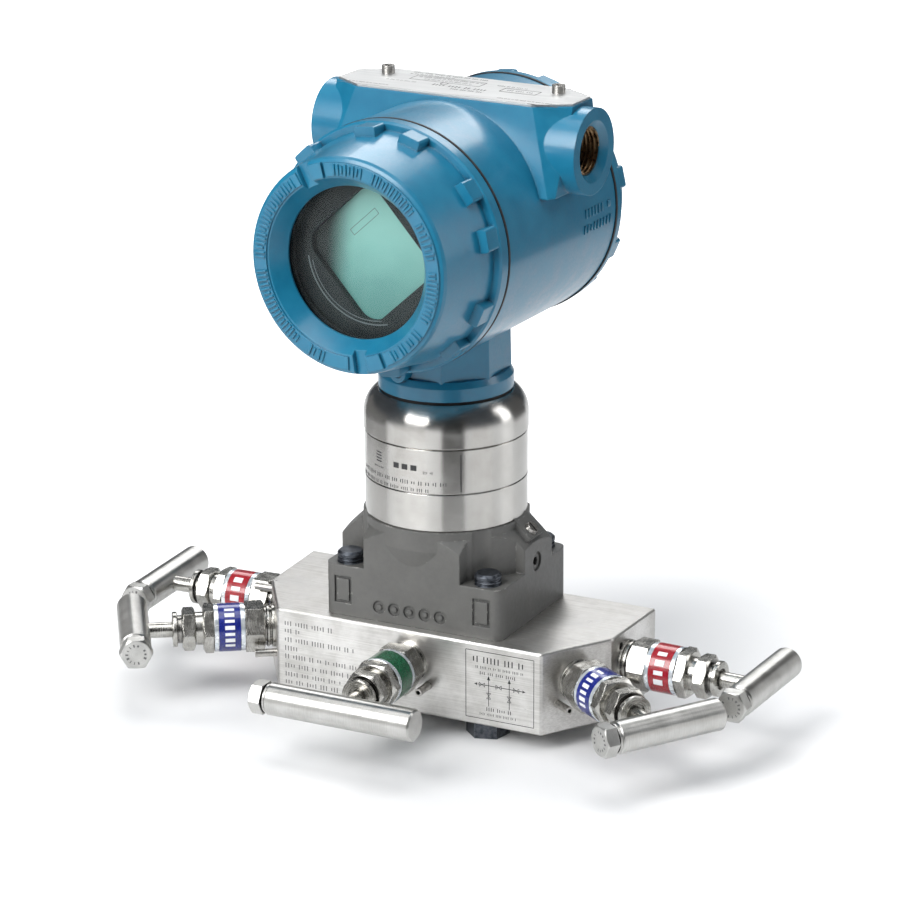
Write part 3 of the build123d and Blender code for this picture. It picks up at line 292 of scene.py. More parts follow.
def manifoldSteel():
    # Ground block: grain runs along the block, with scratches and rubbed patches
    s = Shader("ManifoldSteel")
    grain = s.noise(1.0, 4, 0.7, s.stretched(manifoldLook["grain"]))
    cross = s.noise(1.0, 3, 0.6, s.stretched((900, 60, 30)))
    patch = s.noise(55, 5, 0.62)
    speck = s.noise(1500, 2, 0.5)
    edgeNormal = s.rounded(manifoldLook["edge"])
    normal = s.bump(grain, manifoldLook["grainDepth"], 0.35, edgeNormal)
    normal = s.bump(cross, 0.00002, 0.18, normal)
    normal = s.bump(speck, 0.00002, 0.22, normal)
    tone = s.math("ADD", s.math("MULTIPLY", grain, 0.4), s.math("MULTIPLY", patch, 0.6))
    colour = s.blendColour(s.ramp(tone, 0.34, 0.66), manifoldLook["dark"], manifoldLook["light"])
    colour = s.blendColour(s.math("MULTIPLY", s.edges(edgeNormal), 0.35), colour, (0.86, 0.85, 0.83))
    # Painted shade: darker in crevices and recesses, by ambient occlusion
    colour = s.blendColour(s.ramp(s.crevices(0.003), 0.2, 0.75), manifoldLook["creviceShade"], colour)
    rough = s.ramp(tone, 0.3, 0.7, manifoldLook["roughHigh"], manifoldLook["roughLow"])
    return s.finish(s.principled(Base_Color=colour, Metallic=1.0, Roughness=rough, Anisotropic=0.55,
                                 Tangent=s.grainWay((0.0, 0.35, 1.0)), Normal=normal))


# The crevice colour is painted shade, laid into crevices and recesses by ambient occlusion
paintLook = {
    "deep": (0.004, 0.145, 0.26), "bright": (0.006, 0.175, 0.30), "rub": (0.03, 0.26, 0.43),
    "creviceShade": (0.001, 0.022, 0.055), "edge": 0.0009, "orangePeel": 0.00005, "roughness": 0.4,
    "specular": 0.35, "coat": 0.8, "coatRoughness": 0.2, "coatIndex": 1.5,
}


def bluePaint():
    # Baked enamel over a casting: orange peel, soft waves and thinner paint on the edges
    s = Shader("BluePaint")
    peel = s.noise(1400, 2, 0.5)
    wave = s.noise(120, 3, 0.5)
    grit = s.voronoi(900)
    edgeNormal = s.rounded(paintLook["edge"])
    normal = s.bump(wave, 0.0001, 0.25, edgeNormal)
    normal = s.bump(peel, paintLook["orangePeel"], 0.3, normal)
    normal = s.bump(grit, 0.00002, 0.2, normal)
    colour = s.blendColour(s.ramp(wave, 0.2, 0.8), paintLook["deep"], paintLook["bright"])
    worn = s.math("MULTIPLY", s.edges(edgeNormal, 0.03, 0.3), s.ramp(peel, 0.35, 0.65, 0.1, 0.4))
    colour = s.blendColour(worn, colour, paintLook["rub"])
    # Painted shade: darker blue in crevices and recesses, by ambient occlusion
    colour = s.blendColour(s.ramp(s.crevices(0.004), 0.15, 0.7), paintLook["creviceShade"], colour)
    rough = s.ramp(s.math("ADD", wave, s.math("MULTIPLY", grit, 0.3)), 0.3, 0.9,
                   paintLook["roughness"] - 0.05, paintLook["roughness"] + 0.1)
    return s.finish(s.principled(
        Base_Color=colour, Roughness=rough, Normal=normal, Specular_IOR_Level=paintLook["specular"],
        Coat_Weight=paintLook["coat"],
        Coat_Roughness=paintLook["coatRoughness"], Coat_IOR=paintLook["coatIndex"]))


# The crevice colour is painted shade, laid into crevices and recesses by ambient occlusion
flangeLook = {
    "dark": (0.1, 0.099, 0.093), "light": (0.123, 0.121, 0.114), "fleck": (0.66, 0.64, 0.6),
    "creviceShade": (0.03, 0.03, 0.027), "edge": 0.0010, "roughness": 0.4,
}


def flangePaint():
    # Cast carbon-steel look: fine pits, a dull coat and bright rubbed flecks along the edges
    s = Shader("FlangePaint")
    cast = s.noise(420, 5, 0.62)
    pits = s.voronoi(620)
    broad = s.noise(60, 3, 0.5)
    edgeNormal = s.rounded(flangeLook["edge"])
    normal = s.bump(broad, 0.0005, 0.35, edgeNormal)
    normal = s.bump(cast, 0.00016, 0.4, normal)
    normal = s.bump(pits, 0.0001, 0.25, normal)
    tone = s.math("ADD", s.math("MULTIPLY", cast, 0.5), s.math("MULTIPLY", broad, 0.5))
    colour = s.blendColour(s.ramp(tone, 0.32, 0.68), flangeLook["dark"], flangeLook["light"])
    rub = s.math("MULTIPLY", s.edges(edgeNormal, 0.04, 0.3), s.ramp(s.noise(380, 4, 0.7), 0.53, 0.66))
    colour = s.blendColour(s.math("MULTIPLY", rub, 0.75), colour, flangeLook["fleck"])
    scuff = s.ramp(s.noise(330, 5, 0.75), 0.69, 0.76)
    colour = s.blendColour(s.math("MULTIPLY", scuff, 0.5), colour, flangeLook["fleck"])
    # Painted shade: darker in crevices and recesses, by ambient occlusion
    colour = s.blendColour(s.ramp(s.crevices(0.009), 0.2, 0.85), flangeLook["creviceShade"], colour)
    rough = s.ramp(cast, 0.3, 0.7, flangeLook["roughness"], flangeLook["roughness"] + 0.16)
    return s.finish(s.principled(Base_Color=colour, Roughness=rough, Normal=normal, Coat_Weight=0.18,
                                 Coat_Roughness=0.3))


def filmPaint(name, colour, deep):
    # Printed sleeve film: glossy, with a faint weave of print dots and scuffs
    s = Shader(name)
    dots = s.voronoi(2600)
    scuff = s.noise(700, 4, 0.6)
    shade = s.blendColour(s.ramp(scuff, 0.35, 0.7), deep, colour)
    normal = s.bump(scuff, 0.00003, 0.25)
    rough = s.ramp(dots, 0.0, 0.6, 0.18, 0.3)
    return s.finish(s.principled(Base_Color=shade, Roughness=rough, Normal=normal, Coat_Weight=0.6,
                                 Coat_Roughness=0.08))


def silverFilm():
    # The clear ends of the sleeves over bright steel: silvery with a thin rainbow cast
    s = Shader("SilverFilm")
    wrinkle = s.noise(420, 3, 0.6)
    colour = s.blendColour(s.ramp(wrinkle, 0.3, 0.7), (0.62, 0.68, 0.74), (0.84, 0.86, 0.88))
    return s.finish(s.principled(
        Base_Color=colour, Metallic=0.55, Roughness=s.ramp(wrinkle, 0.3, 0.7, 0.14, 0.3),
        Normal=s.bump(wrinkle, 0.0001, 0.3), Coat_Weight=0.7, Coat_Roughness=0.05,
        Thin_Film_Thickness=420.0, Thin_Film_IOR=1.4))


def darkBolt():
    # Dark plated steel with bright rubbed edges
    s = Shader("BoltSteel")
    along, _ = s.axial((0, 0, 0), (0, 0, 1))
    rings = s.lines(along, 2600)
    cloud = s.noise(500, 4, 0.6)
    edgeNormal = s.rounded(0.0003)
    colour = s.blendColour(s.ramp(cloud, 0.3, 0.7), (0.04, 0.046, 0.055), (0.13, 0.14, 0.16))
    colour = s.blendColour(s.math("MULTIPLY", s.edges(edgeNormal), 0.6), colour, (0.5, 0.54, 0.62))
    return s.finish(s.principled(Base_Color=colour, Metallic=0.9, Roughness=s.ramp(cloud, 0.3, 0.7, 0.3, 0.5),
                                 Normal=s.bump(rings, 0.00003, 0.3, edgeNormal)))


def rubber():
    s = Shader("SealRubber")
    bloom = s.noise(300, 4, 0.6)
    colour = s.blendColour(s.ramp(bloom, 0.35, 0.75), (0.006, 0.007, 0.009), (0.03, 0.03, 0.032))
    return s.finish(s.principled(Base_Color=colour, Roughness=s.ramp(bloom, 0.3, 0.7, 0.5, 0.75),
                                 Normal=s.bump(s.noise(1600, 2), 0.00005, 0.4)))


def mouldedPlastic():
    s = Shader("DarkPlastic")
    grain = s.noise(1800, 3, 0.6)
    cloud = s.noise(90, 3, 0.5)
    edgeNormal = s.rounded(0.0005)
    colour = s.blendColour(s.ramp(cloud, 0.3, 0.7), (0.012, 0.015, 0.017), (0.022, 0.026, 0.028))
    return s.finish(s.principled(Base_Color=colour, Roughness=s.ramp(grain, 0.3, 0.7, 0.5, 0.62),
                                 Specular_IOR_Level=0.18, Normal=s.bump(grain, 0.00002, 0.08, edgeNormal)))


# dark is the painted shadow of the cover ring along the display's left side
displayLook = {"pale": (0.285, 0.52, 0.475), "green": (0.125, 0.29, 0.27), "dark": (0.022, 0.027, 0.028)}


def displayFace():
    # Flat liquid-crystal glass: pale green, deeper lower down, with a painted shadow of the cover ring
    # darkening its left side
    s = Shader("DisplayFace")
    split = s.add("ShaderNodeSeparateXYZ")
    s.link(s.coords, split.inputs[0])
    height = s.math("SUBTRACT", split.outputs["Z"], housingCentre.z)
    across = s.math("ADD", split.outputs["X"], s.math("MULTIPLY", height, -0.12))
    haze = s.noise(60, 3, 0.5)
    shadowEdgeAcross = s.math("ADD", across, s.math("MULTIPLY", haze, 0.002))
    colour = s.blendColour(s.ramp(height, -0.02, 0.02), displayLook["green"], displayLook["pale"])
    colour = s.blendColour(s.math("MULTIPLY", s.ramp(haze, 0.35, 0.7), 0.12), colour, (0.36, 0.66, 0.6))
    # Painted shadow: the cover ring's shade, darkening the display towards its left side
    colour = s.blendColour(s.ramp(shadowEdgeAcross, -0.0225, -0.0085), displayLook["dark"], colour)
    return s.finish(s.principled(Base_Color=colour, Roughness=0.4, Specular_IOR_Level=0.2, Coat_Weight=0.08,
                                 Coat_Roughness=0.1))


def clearGlass():
    # Clear coated pane: a flat window shows no refraction, so the index is low and the coat gives the sheen
    s = Shader("WindowGlass")
    smear = s.noise(45, 4, 0.6)
    glass = s.principled(Base_Color=(0.92, 0.97, 0.96), Roughness=0.0, Transmission_Weight=1.0, IOR=1.1,
                         Coat_Weight=s.ramp(smear, 0.3, 0.75, 0.12, 0.2), Coat_Roughness=0.03)
    clear = s.add("ShaderNodeBsdfTransparent")
    clear.inputs["Color"].default_value = (0.93, 0.97, 0.96, 1)
    path = s.add("ShaderNodeLightPath")
    passing = s.math("MAXIMUM", path.outputs["Is Shadow Ray"], path.outputs["Is Diffuse Ray"])
    mix = s.add("ShaderNodeMixShader")
    s.link(passing, mix.inputs[0])
    s.link(glass.outputs[0], mix.inputs[1])
    s.link(clear.outputs[0], mix.inputs[2])
    return s.finish(mix)


def plateSteel():
    # Satin label plate, brushed along its length
    s = Shader("PlateSteel")
    grain = s.noise(1.0, 3, 0.6, s.stretched((40, 1800, 1800)))
    colour = s.blendColour(s.ramp(grain, 0.3, 0.7), (0.52, 0.525, 0.525), (0.64, 0.645, 0.64))
    return s.finish(s.principled(
        Base_Color=colour, Metallic=0.85, Roughness=s.ramp(grain, 0.3, 0.7, 0.36, 0.5),
        Normal=s.bump(grain, 0.00002, 0.3, s.rounded(0.0003))))


def ink(name, colour, roughness=0.5):
    # Etched or printed marking, and the painted highlights on the bezel's rims: slightly uneven coverage
    s = Shader(name)
    wear = s.noise(1500, 3, 0.7)
    lighter = tuple(min(1.0, c * 1.8 + 0.03) for c in colour)
    shade = s.blendColour(s.ramp(wear, 0.55, 0.75), colour, lighter)
    return s.finish(s.principled(
        Base_Color=shade, Roughness=s.ramp(wear, 0.3, 0.7, roughness, roughness + 0.15),
        Normal=s.bump(wear, 0.00002, 0.3)))


def threadMetal():
    # Yellow-brown sealant and bare metal inside the conduit thread
    s = Shader("ThreadMetal")
    cloud = s.noise(380, 4, 0.6)
    colour = s.blendColour(s.ramp(cloud, 0.3, 0.7), (0.16, 0.085, 0.035), (0.45, 0.3, 0.16))
    return s.finish(s.principled(
        Base_Color=colour, Metallic=0.85, Roughness=s.ramp(cloud, 0.3, 0.7, 0.24, 0.42),
        Normal=s.bump(cloud, 0.00005, 0.3)))


blue = bluePaint()
inkDark = ink("InkDark", (0.03, 0.03, 0.032))
inkGrey = ink("InkGrey", (0.12, 0.12, 0.12))
inkWhite = ink("InkWhite", (0.82, 0.83, 0.85), 0.35)
silver = silverFilm()
thread = threadMetal()
moduleSteel = turnedSteel("ModuleSteel", (0, 0, 0), (0, 0, 1), steelLooks["module"])
bareSteel = turnedSteel("BareSteel", (0, 0, 0), (0, 0, 1), steelLooks["small"])
slotMaterials = {
    "manifold_steel": manifoldSteel(),
    "bare_steel": bareSteel,
    "module_steel": moduleSteel,
    "plate_steel": plateSteel(),
    "bolt_steel": darkBolt(),
    "flange_paint": flangePaint(),
    "blue_paint": blue,
    "seal_rubber": rubber(),
    "dark_plastic": mouldedPlastic(),
    "lcd_plastic": displayFace(),
    "window_glass": clearGlass(),
    "blue_band": filmPaint("BlueFilm", (0.008, 0.02, 0.25), (0.004, 0.011, 0.15)),
    "red_band": filmPaint("RedFilm", (0.42, 0.012, 0.022), (0.26, 0.006, 0.012)),
    "green_band": filmPaint("GreenFilm", (0.0, 0.12, 0.045), (0.0, 0.065, 0.025)),
}
for valve, seat in valves.items():
    seat["steel"] = turnedSteel("ValveSteel_" + valve, seat["origin"], seat["out"], steelLooks["valve"])
    barAxisPoint = seat["origin"] + seat["out"] * handleBars["out"] * mm
    seat["handleSteel"] = turnedSteel("HandleSteel_" + valve, barAxisPoint, seat["bar"], steelLooks["handle"])

slotOfNode = {piece["node"]: piece["material_slot"] for piece in frame["record"]["subparts"]}
for nodeName, obj in nodes.items():
    slotName = slotOfNode[nodeName]
    if slotName in ("valve_steel", "handle_steel"):
        valveName = next(v for v in valves if nodeName.startswith(v))
        material = valves[valveName]["steel" if slotName == "valve_steel" else "handleSteel"]
    else:
        material = slotMaterials[slotName]
    if not obj.data.materials:
        obj.data.materials.append(material)
    for index in range(len(obj.data.materials)):
        obj.data.materials[index] = material
print("materials on", len(nodes), "nodes")

# Mesh helpers
sharpAngle = math.radians(38)


def finishPiece(name, bm, body, material, smooth=True):
    bmesh.ops.recalc_face_normals(bm, faces=bm.faces)
    mesh = bpy.data.meshes.new(name)
    bm.to_mesh(mesh)
    bm.free()
    if smooth:
        mesh.polygons.foreach_set("use_smooth", [True] * len(mesh.polygons))
        mesh.set_sharp_from_angle(angle=sharpAngle)
    obj = bpy.data.objects.new(name, mesh)
    scene.collection.objects.link(obj)
    mesh.materials.append(material)
    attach(obj, body)
    return obj


def addBlock(bm, centre, across, up, out, width, height, depth, corner):
    # A small box with rounded edges, standing on a surface by its back
    basis = Matrix((across.normalized(), up.normalized(), out.normalized())).transposed().to_4x4()
    basis.translation = centre + out.normalized() * depth / 2
    made = bmesh.ops.create_cube(bm, size=1.0, matrix=basis @ Matrix.Diagonal((width, height, depth, 1)))
    edges = {edge for vertex in made["verts"] for edge in vertex.link_edges}
    bmesh.ops.bevel(bm, geom=list(edges), offset=corner, segments=2, profile=0.5, affect="EDGES", material=-1)


def turnedWay(axis, zero, angle):
    # The way square to an axis that lies at an angle from zero
    return zero * math.cos(angle) + axis.cross(zero) * math.sin(angle)


def spinOutline(bm, origin, axis, start, points, angle, steps, filled=False, merged=False, climb=0.0):
    # Turns (radius, height) points round an axis from the start way; climb is the helix's height in all
    rim = [bm.verts.new(origin + (start * radius + axis * height) * mm) for radius, height in points]
    if filled:
        face = bm.faces.new(rim)
        outline = rim + list(face.edges) + [face]
    else:
        outline = rim + [bm.edges.new(pair) for pair in zip(rim, rim[1:])]
    bmesh.ops.spin(bm, geom=outline, cent=origin, axis=axis, dvec=axis * (climb * mm / steps),
                   angle=angle, steps=steps, use_merge=merged)


def addArcBlock(bm, origin, axis, zero, angles, radii, heights, steps):
    # A curved block between two angles, two radii and two heights
    corners = [(radii[0], heights[0]), (radii[1], heights[0]), (radii[1], heights[1]), (radii[0], heights[1])]
    start = turnedWay(axis, zero, angles[0])
    spinOutline(bm, origin, axis, start, corners, angles[1] - angles[0], steps, filled=True)


# Threads inside the two conduit entries
threadShape = {
    "pitch": 1.814, "turns": 11, "root": 9.84, "crest": 8.95, "mouth": 57.3, "inner": 36.1, "steps": 60,
    "back": 13.5, "high": 32.8,  # the entries' axis from the housing's centre
    "profile": ((0.0, "crest"), (0.18, "crest"), (0.5, "root"), (0.68, "root")),  # shares of a pitch
}
threadOrigin = housingCentre + (housingBack * threadShape["back"] + upward * threadShape["high"]) * mm
threadOutline = [
    (threadShape[level], threadShape["mouth"] + (1 - turn - part) * threadShape["pitch"])
    for turn in range(threadShape["turns"]) for part, level in threadShape["profile"]]
for side, sideName in ((1, "right"), (-1, "left")):
    bm = bmesh.new()
    axis = housingAcross * side
    spinOutline(bm, threadOrigin, axis, housingBack, threadOutline, math.tau, threadShape["steps"],
                climb=-threadShape["pitch"])
    for vertex in bm.verts:
        height = (vertex.co - threadOrigin).dot(axis)
        vertex.co += axis * (min(threadShape["mouth"] * mm, max(threadShape["inner"] * mm, height)) - height)
    bmesh.ops.remove_doubles(bm, verts=bm.verts, dist=0.00001)
    finishPiece("conduitThread_" + sideName, bm, "housing", thread)
print("conduit threads made")


# Flat markings: thin bars laid on a face by a function from two face coordinates and a height
def thicken(bm, lay, flat, faces, depth):
    # Gives flat faces a thickness and lays the closed piece on its surface
    raised = bmesh.ops.extrude_face_region(bm, geom=faces)["geom"]
    top = [item for item in raised if isinstance(item, bmesh.types.BMVert)]
    bmesh.ops.translate(bm, verts=top, vec=(0.0, 0.0, depth))
    for vertex in flat + top:
        vertex.co = lay(*vertex.co)


def addStrip(bm, lay, first, second, width, depth=0.04, pieces=1):
    # A bar between two points, cut into pieces where it has to follow a curved face
    across, along = second[0] - first[0], second[1] - first[1]
    middle = ((first[0] + second[0]) / 2, (first[1] + second[1]) / 2, 0.0)
    place = (Matrix.Translation(middle) @ Matrix.Rotation(math.atan2(along, across), 4, "Z")
             @ Matrix.Diagonal((math.hypot(across, along), width, 1, 1)))
    flat = bmesh.ops.create_grid(bm, x_segments=pieces, y_segments=1, size=0.5, matrix=place)["verts"]
    faces = {face for vertex in flat for face in vertex.link_faces}
    thicken(bm, lay, flat, list(faces), depth)


def addFrame(bm, lay, corners, width, depth=0.04):
    for first, second in zip(corners, corners[1:] + corners[:1]):
        addStrip(bm, lay, first, second, width, depth)


def boxCorners(left, right, low, high):
    return [(left, low), (right, low), (right, high), (left, high)]


def addRing(bm, lay, centre, radius, width, depth, steps=28, low=0.0, high=360.0):
    # A ring or an arc of short bars, between two angles in degrees
    points = []
    for step in range(steps + 1):
        angle = math.radians(low + (high - low) * step / steps)
        points.append((centre[0] + radius * math.cos(angle), centre[1] + radius * math.sin(angle)))
    for first, second in zip(points, points[1:]):
        addStrip(bm, lay, first, second, width, depth)


def addTriangle(bm, lay, points, depth=0.04):
    flat = [bm.verts.new((u, v, 0.0)) for u, v in points]
    thicken(bm, lay, flat, [bm.faces.new(flat)], depth)


dashShape = {
    "group": (2, 3, 4, 5), "tall": (1.0, 1.0, 0.62, 0.8),  # drawn from, the heights as shares of the row's
    "width": 0.2, "step": 0.62, "gap": 0.55,  # shares of the row's height
}


def addDashRow(bm, lay, start, length, height, seed, depth=0.04):
    # A line of short upright bars in uneven groups: it stands for print without being any
    chance = random.Random(seed)
    u, level = start
    end = u + length
    while u < end:
        for _ in range(chance.choice(dashShape["group"])):
            if u >= end:
                break
            reach = height * chance.choice(dashShape["tall"]) / 2
            addStrip(bm, lay, (u, level - reach), (u, level + reach), height * dashShape["width"], depth)
            u += height * dashShape["step"]
        u += height * dashShape["gap"]


# Etched marking on the front of the block: eight rows at the left, a framed line diagram at the right
def onBlockFront(u, v, h):
    return Vector((u, cornerFront[1] - h, v)) * mm


blockRows = {
    "start": -56.9, "height": 2.1, "firstSeed": 100,
    "rows": [(29.4, 22), (26.1, 7), (22.2, 32), (18.4, 7.5), (14.8, 33), (10.7, 31), (6.9, 26), (3.4, 26)],
}
bm = bmesh.new()
for number, (level, length) in enumerate(blockRows["rows"]):
    addDashRow(bm, onBlockFront, (blockRows["start"], level), length, blockRows["height"],
               blockRows["firstSeed"] + number)
finishPiece("blockPrintRows", bm, "manifold", inkGrey, smooth=False)

diagram = {
    "left": 26.9, "right": 57.5, "low": 3.0, "high": 32.3, "line": 0.28,
    "rows": [  # level, start, end, height and seed
        (28.7, 30.4, 54.0, 2.6, 31), (25.4, 31.5, 52.8, 1.2, 32), (22.9, 33.4, 50.6, 1.5, 33),
        (7.6, 36.4, 47.4, 1.6, 34), (5.2, 33.3, 49.8, 1.1, 35),
    ],
    "risers": (37.2, 46.5), "riserLow": 8.9, "riserHigh": 20.9,
    "tipLow": 20.3, "tipHigh": 22.2, "tipHalf": 0.75,
    "crossing": 17.9, "crossingLeft": 32.2, "crossingRight": 52.2,
    "arrows": ((31.5, -1), (52.9, 1)), "arrowBack": 0.5, "arrowTip": 0.9, "arrowHalf": 0.6,
    "bow": 1.25, "bowWaist": 0.75, "bowLine": 0.2,
    "levelBows": (34.2, 41.7, 49.6), "uprightBowLevel": 13.4,
}
bm = bmesh.new()
addFrame(bm, onBlockFront, boxCorners(diagram["left"], diagram["right"], diagram["low"], diagram["high"]),
         diagram["line"])
for level, low, high, height, seed in diagram["rows"]:
    addDashRow(bm, onBlockFront, (low, level), high - low, height, seed)
for u in diagram["risers"]:
    addStrip(bm, onBlockFront, (u, diagram["riserLow"]), (u, diagram["riserHigh"]), diagram["line"])
    addTriangle(bm, onBlockFront, [
        (u - diagram["tipHalf"], diagram["tipLow"]), (u + diagram["tipHalf"], diagram["tipLow"]),
        (u, diagram["tipHigh"])])
crossing = diagram["crossing"]
addStrip(bm, onBlockFront, (diagram["crossingLeft"], crossing), (diagram["crossingRight"], crossing),
         diagram["line"])
for u, sign in diagram["arrows"]:
    back = u - sign * diagram["arrowBack"]
    addTriangle(bm, onBlockFront, [
        (back, crossing - diagram["arrowHalf"]), (back, crossing + diagram["arrowHalf"]),
        (u + sign * diagram["arrowTip"], crossing)])
bow = diagram["bow"]
waist = bow * diagram["bowWaist"]
for sign in (-1, 1):
    for u in diagram["levelBows"]:
        addFrame(bm, onBlockFront, [
            (u, crossing), (u + sign * bow, crossing - waist), (u + sign * bow, crossing + waist)],
            diagram["bowLine"])
    for u in diagram["risers"]:
        level = diagram["uprightBowLevel"]
        addFrame(bm, onBlockFront, [
            (u, level), (u - waist, level + sign * bow), (u + waist, level + sign * bow)],
            diagram["bowLine"])
finishPiece("blockDiagram", bm, "manifold", inkDark, smooth=False)
print("block marking made")

# Marking on the label plate
platePrint = {
    "high": 52.6, "depth": 0.05,
    "rows": [  # level, start, length, height and seed
        (28.6, -30, 34, 1.5, 41), (25.8, -30, 20, 1.1, 42), (22.6, -24, 30, 1.2, 43), (22.6, 12, 14, 1.2, 44),
        (19.6, -20, 22, 1.0, 45), (12.8, -34, 14, 1.1, 46), (12.4, -12, 26, 2.4, 47), (8.6, -2, 14, 1.5, 48),
        (3.2, -46, 18, 0.9, 49), (3.4, 22, 24, 0.9, 50), (17, 19.5, 11, 1.6, 51),
    ],
    "frames": [((17, 33, 14, 20), 0.3), ((-26, 6, 17.2, 24.4), 0.22)],  # left, right, low, high; line
    "ring": (-9, 15.8), "ringRadius": 1.5, "ringLine": 0.35,
    "lineLevel": -0.6, "thickLine": (37.5, 50.8, 0.9), "hairline": (-50.5, 36.5, 0.16),  # start, end, width
    "hairlineDepth": 0.04,
}


def onPlate(u, v, h):
    return housingCentre + (housingAcross * u + housingBack * v + upward * (platePrint["high"] + h)) * mm


def addPlateLine(bm, line, depth):
    start, end, width = line
    level = platePrint["lineLevel"]
    addStrip(bm, onPlate, (start, level), (end, level), width, depth)


bm = bmesh.new()
for level, start, length, height, seed in platePrint["rows"]:
    addDashRow(bm, onPlate, (start, level), length, height, seed, platePrint["depth"])
for box, line in platePrint["frames"]:
    addFrame(bm, onPlate, boxCorners(*box), line, platePrint["depth"])
addRing(bm, onPlate, platePrint["ring"], platePrint["ringRadius"], platePrint["ringLine"], platePrint["depth"])
addPlateLine(bm, platePrint["thickLine"], platePrint["depth"])
finishPiece("platePrint", bm, "housing", inkDark, smooth=False)
bm = bmesh.new()
addPlateLine(bm, platePrint["hairline"], platePrint["hairlineDepth"])
finishPiece("plateHairline", bm, "housing", inkGrey, smooth=False)
print("plate marking made")


# Marking on the module's band: a seam, short lines, three squares and rows of dashes
def onModule(u, v, h):
    angle = u / moduleRadius
    return Vector((math.cos(angle) * (moduleRadius + h), math.sin(angle) * (moduleRadius + h), v)) * mm


def arcAt(degrees):
    return math.radians(degrees) * moduleRadius


moduleMarks = {
    "seam": -53.2, "seamLow": 95.3, "seamHigh": 111.2, "seamWidth": 0.55,
    "lines": 4, "lineLow": 104.4, "lineStep": 1.25, "lineArc": (-121, -115), "lineWidth": 0.5, "linePieces": 2,
    "squares": (-103.0, -96.0, -89.0), "squareArc": 4.6, "squareLevel": 104.9, "squareHeight": 2.3,
    "squarePieces": 3,
    "rows": [  # angle, level, length, height and seed
        (-123, 102.0, 6.0, 0.8, 61), (-79.5, 103.3, 4.2, 1.2, 62), (-141, 98.6, 46.0, 1.7, 63),
        (-146, 95.6, 41.0, 1.5, 64),
    ],
}
bm = bmesh.new()
seam = arcAt(moduleMarks["seam"])
addStrip(bm, onModule, (seam, moduleMarks["seamLow"]), (seam, moduleMarks["seamHigh"]),
         moduleMarks["seamWidth"])
lineStart, lineEnd = (arcAt(degrees) for degrees in moduleMarks["lineArc"])
for number in range(moduleMarks["lines"]):
    level = moduleMarks["lineLow"] + number * moduleMarks["lineStep"]
    addStrip(bm, onModule, (lineStart, level), (lineEnd, level), moduleMarks["lineWidth"],
             pieces=moduleMarks["linePieces"])
for degrees in moduleMarks["squares"]:
    addStrip(bm, onModule, (arcAt(degrees), moduleMarks["squareLevel"]),
             (arcAt(degrees + moduleMarks["squareArc"]), moduleMarks["squareLevel"]),
             moduleMarks["squareHeight"], pieces=moduleMarks["squarePieces"])
for degrees, level, length, height, seed in moduleMarks["rows"]:
    addDashRow(bm, onModule, (arcAt(degrees), level), length, height, seed)
finishPiece("moduleMarks", bm, "manifold", inkDark, smooth=False)
print("module marking made")

# Raised bars round the display cover's face, in eight runs with wider gaps
coverBars = {
    "front": 79.1, "radius": 38.6, "lengths": (4.6, 4.6, 3.2), "width": 1.05, "spacing": 1.75, "rise": 0.6,
    "corner": 0.16, "seed": 11,
    "runs": [(-60, -33, 4), (-27, 5, 6), (11, 34, 4), (40, 72, 7), (78, 98, 4), (126, 182, 10), (188, 236, 9),
             (243, 256, 2)],
}
bm = bmesh.new()
chance = random.Random(coverBars["seed"])
coverCentre = housingCentre + frontward * coverBars["front"] * mm
for low, high, count in coverBars["runs"]:
    for k in range(count):
        angle = math.radians(low + (high - low) * (k + 0.5) / count)
        radial = housingAcross * math.cos(angle) + upward * math.sin(angle)
        tangent = frontward.cross(radial)
        centre = coverCentre + radial * coverBars["radius"] * mm
        for side in (-0.5, 0.5):
            addBlock(bm, centre + tangent * side * coverBars["spacing"] * mm, tangent, radial, frontward,
                     coverBars["width"] * mm, chance.choice(coverBars["lengths"]) * mm, coverBars["rise"] * mm,
                     coverBars["corner"] * mm)
finishPiece("coverRingBars", bm, "display_cover", blue)

# Raised bars and a small square low on the right side of the barrel, their lengths drawn on from the cover's
barrelMarks = {
    "rows": ((3.2, 26.0, 40.0, 6), (-3.2, 25.0, 47.5, 9)),  # level, start, end and count
    "heights": (3.6, 3.6, 2.5), "width": 1.0, "rise": 0.6, "corner": 0.15, "sink": 0.1,
    "square": 2.6, "squareSink": 0.2, "squareBack": 46.0, "squareHigh": 3.4,
}
bm = bmesh.new()
for level, low, high, count in barrelMarks["rows"]:
    for k in range(count):
        y = low + (high - low) * k / (count - 1)
        angle = math.asin(level / barrelRadius)
        radial = housingAcross * math.cos(angle) + upward * math.sin(angle)
        centre = housingCentre + (radial * (barrelRadius - barrelMarks["sink"]) + housingBack * y) * mm
        addBlock(bm, centre, housingBack, radial.cross(housingBack), radial, barrelMarks["width"] * mm,
                 chance.choice(barrelMarks["heights"]) * mm, barrelMarks["rise"] * mm,
                 barrelMarks["corner"] * mm)
squareCentre = housingCentre + (
    housingAcross * (barrelRadius - barrelMarks["squareSink"]) + housingBack * barrelMarks["squareBack"]
    + upward * barrelMarks["squareHigh"]) * mm
addBlock(bm, squareCentre, housingBack, upward, housingAcross, barrelMarks["square"] * mm,
         barrelMarks["square"] * mm, barrelMarks["rise"] * mm, barrelMarks["corner"] * mm)
finishPiece("barrelBars", bm, "housing", blue)
print("raised bars made")

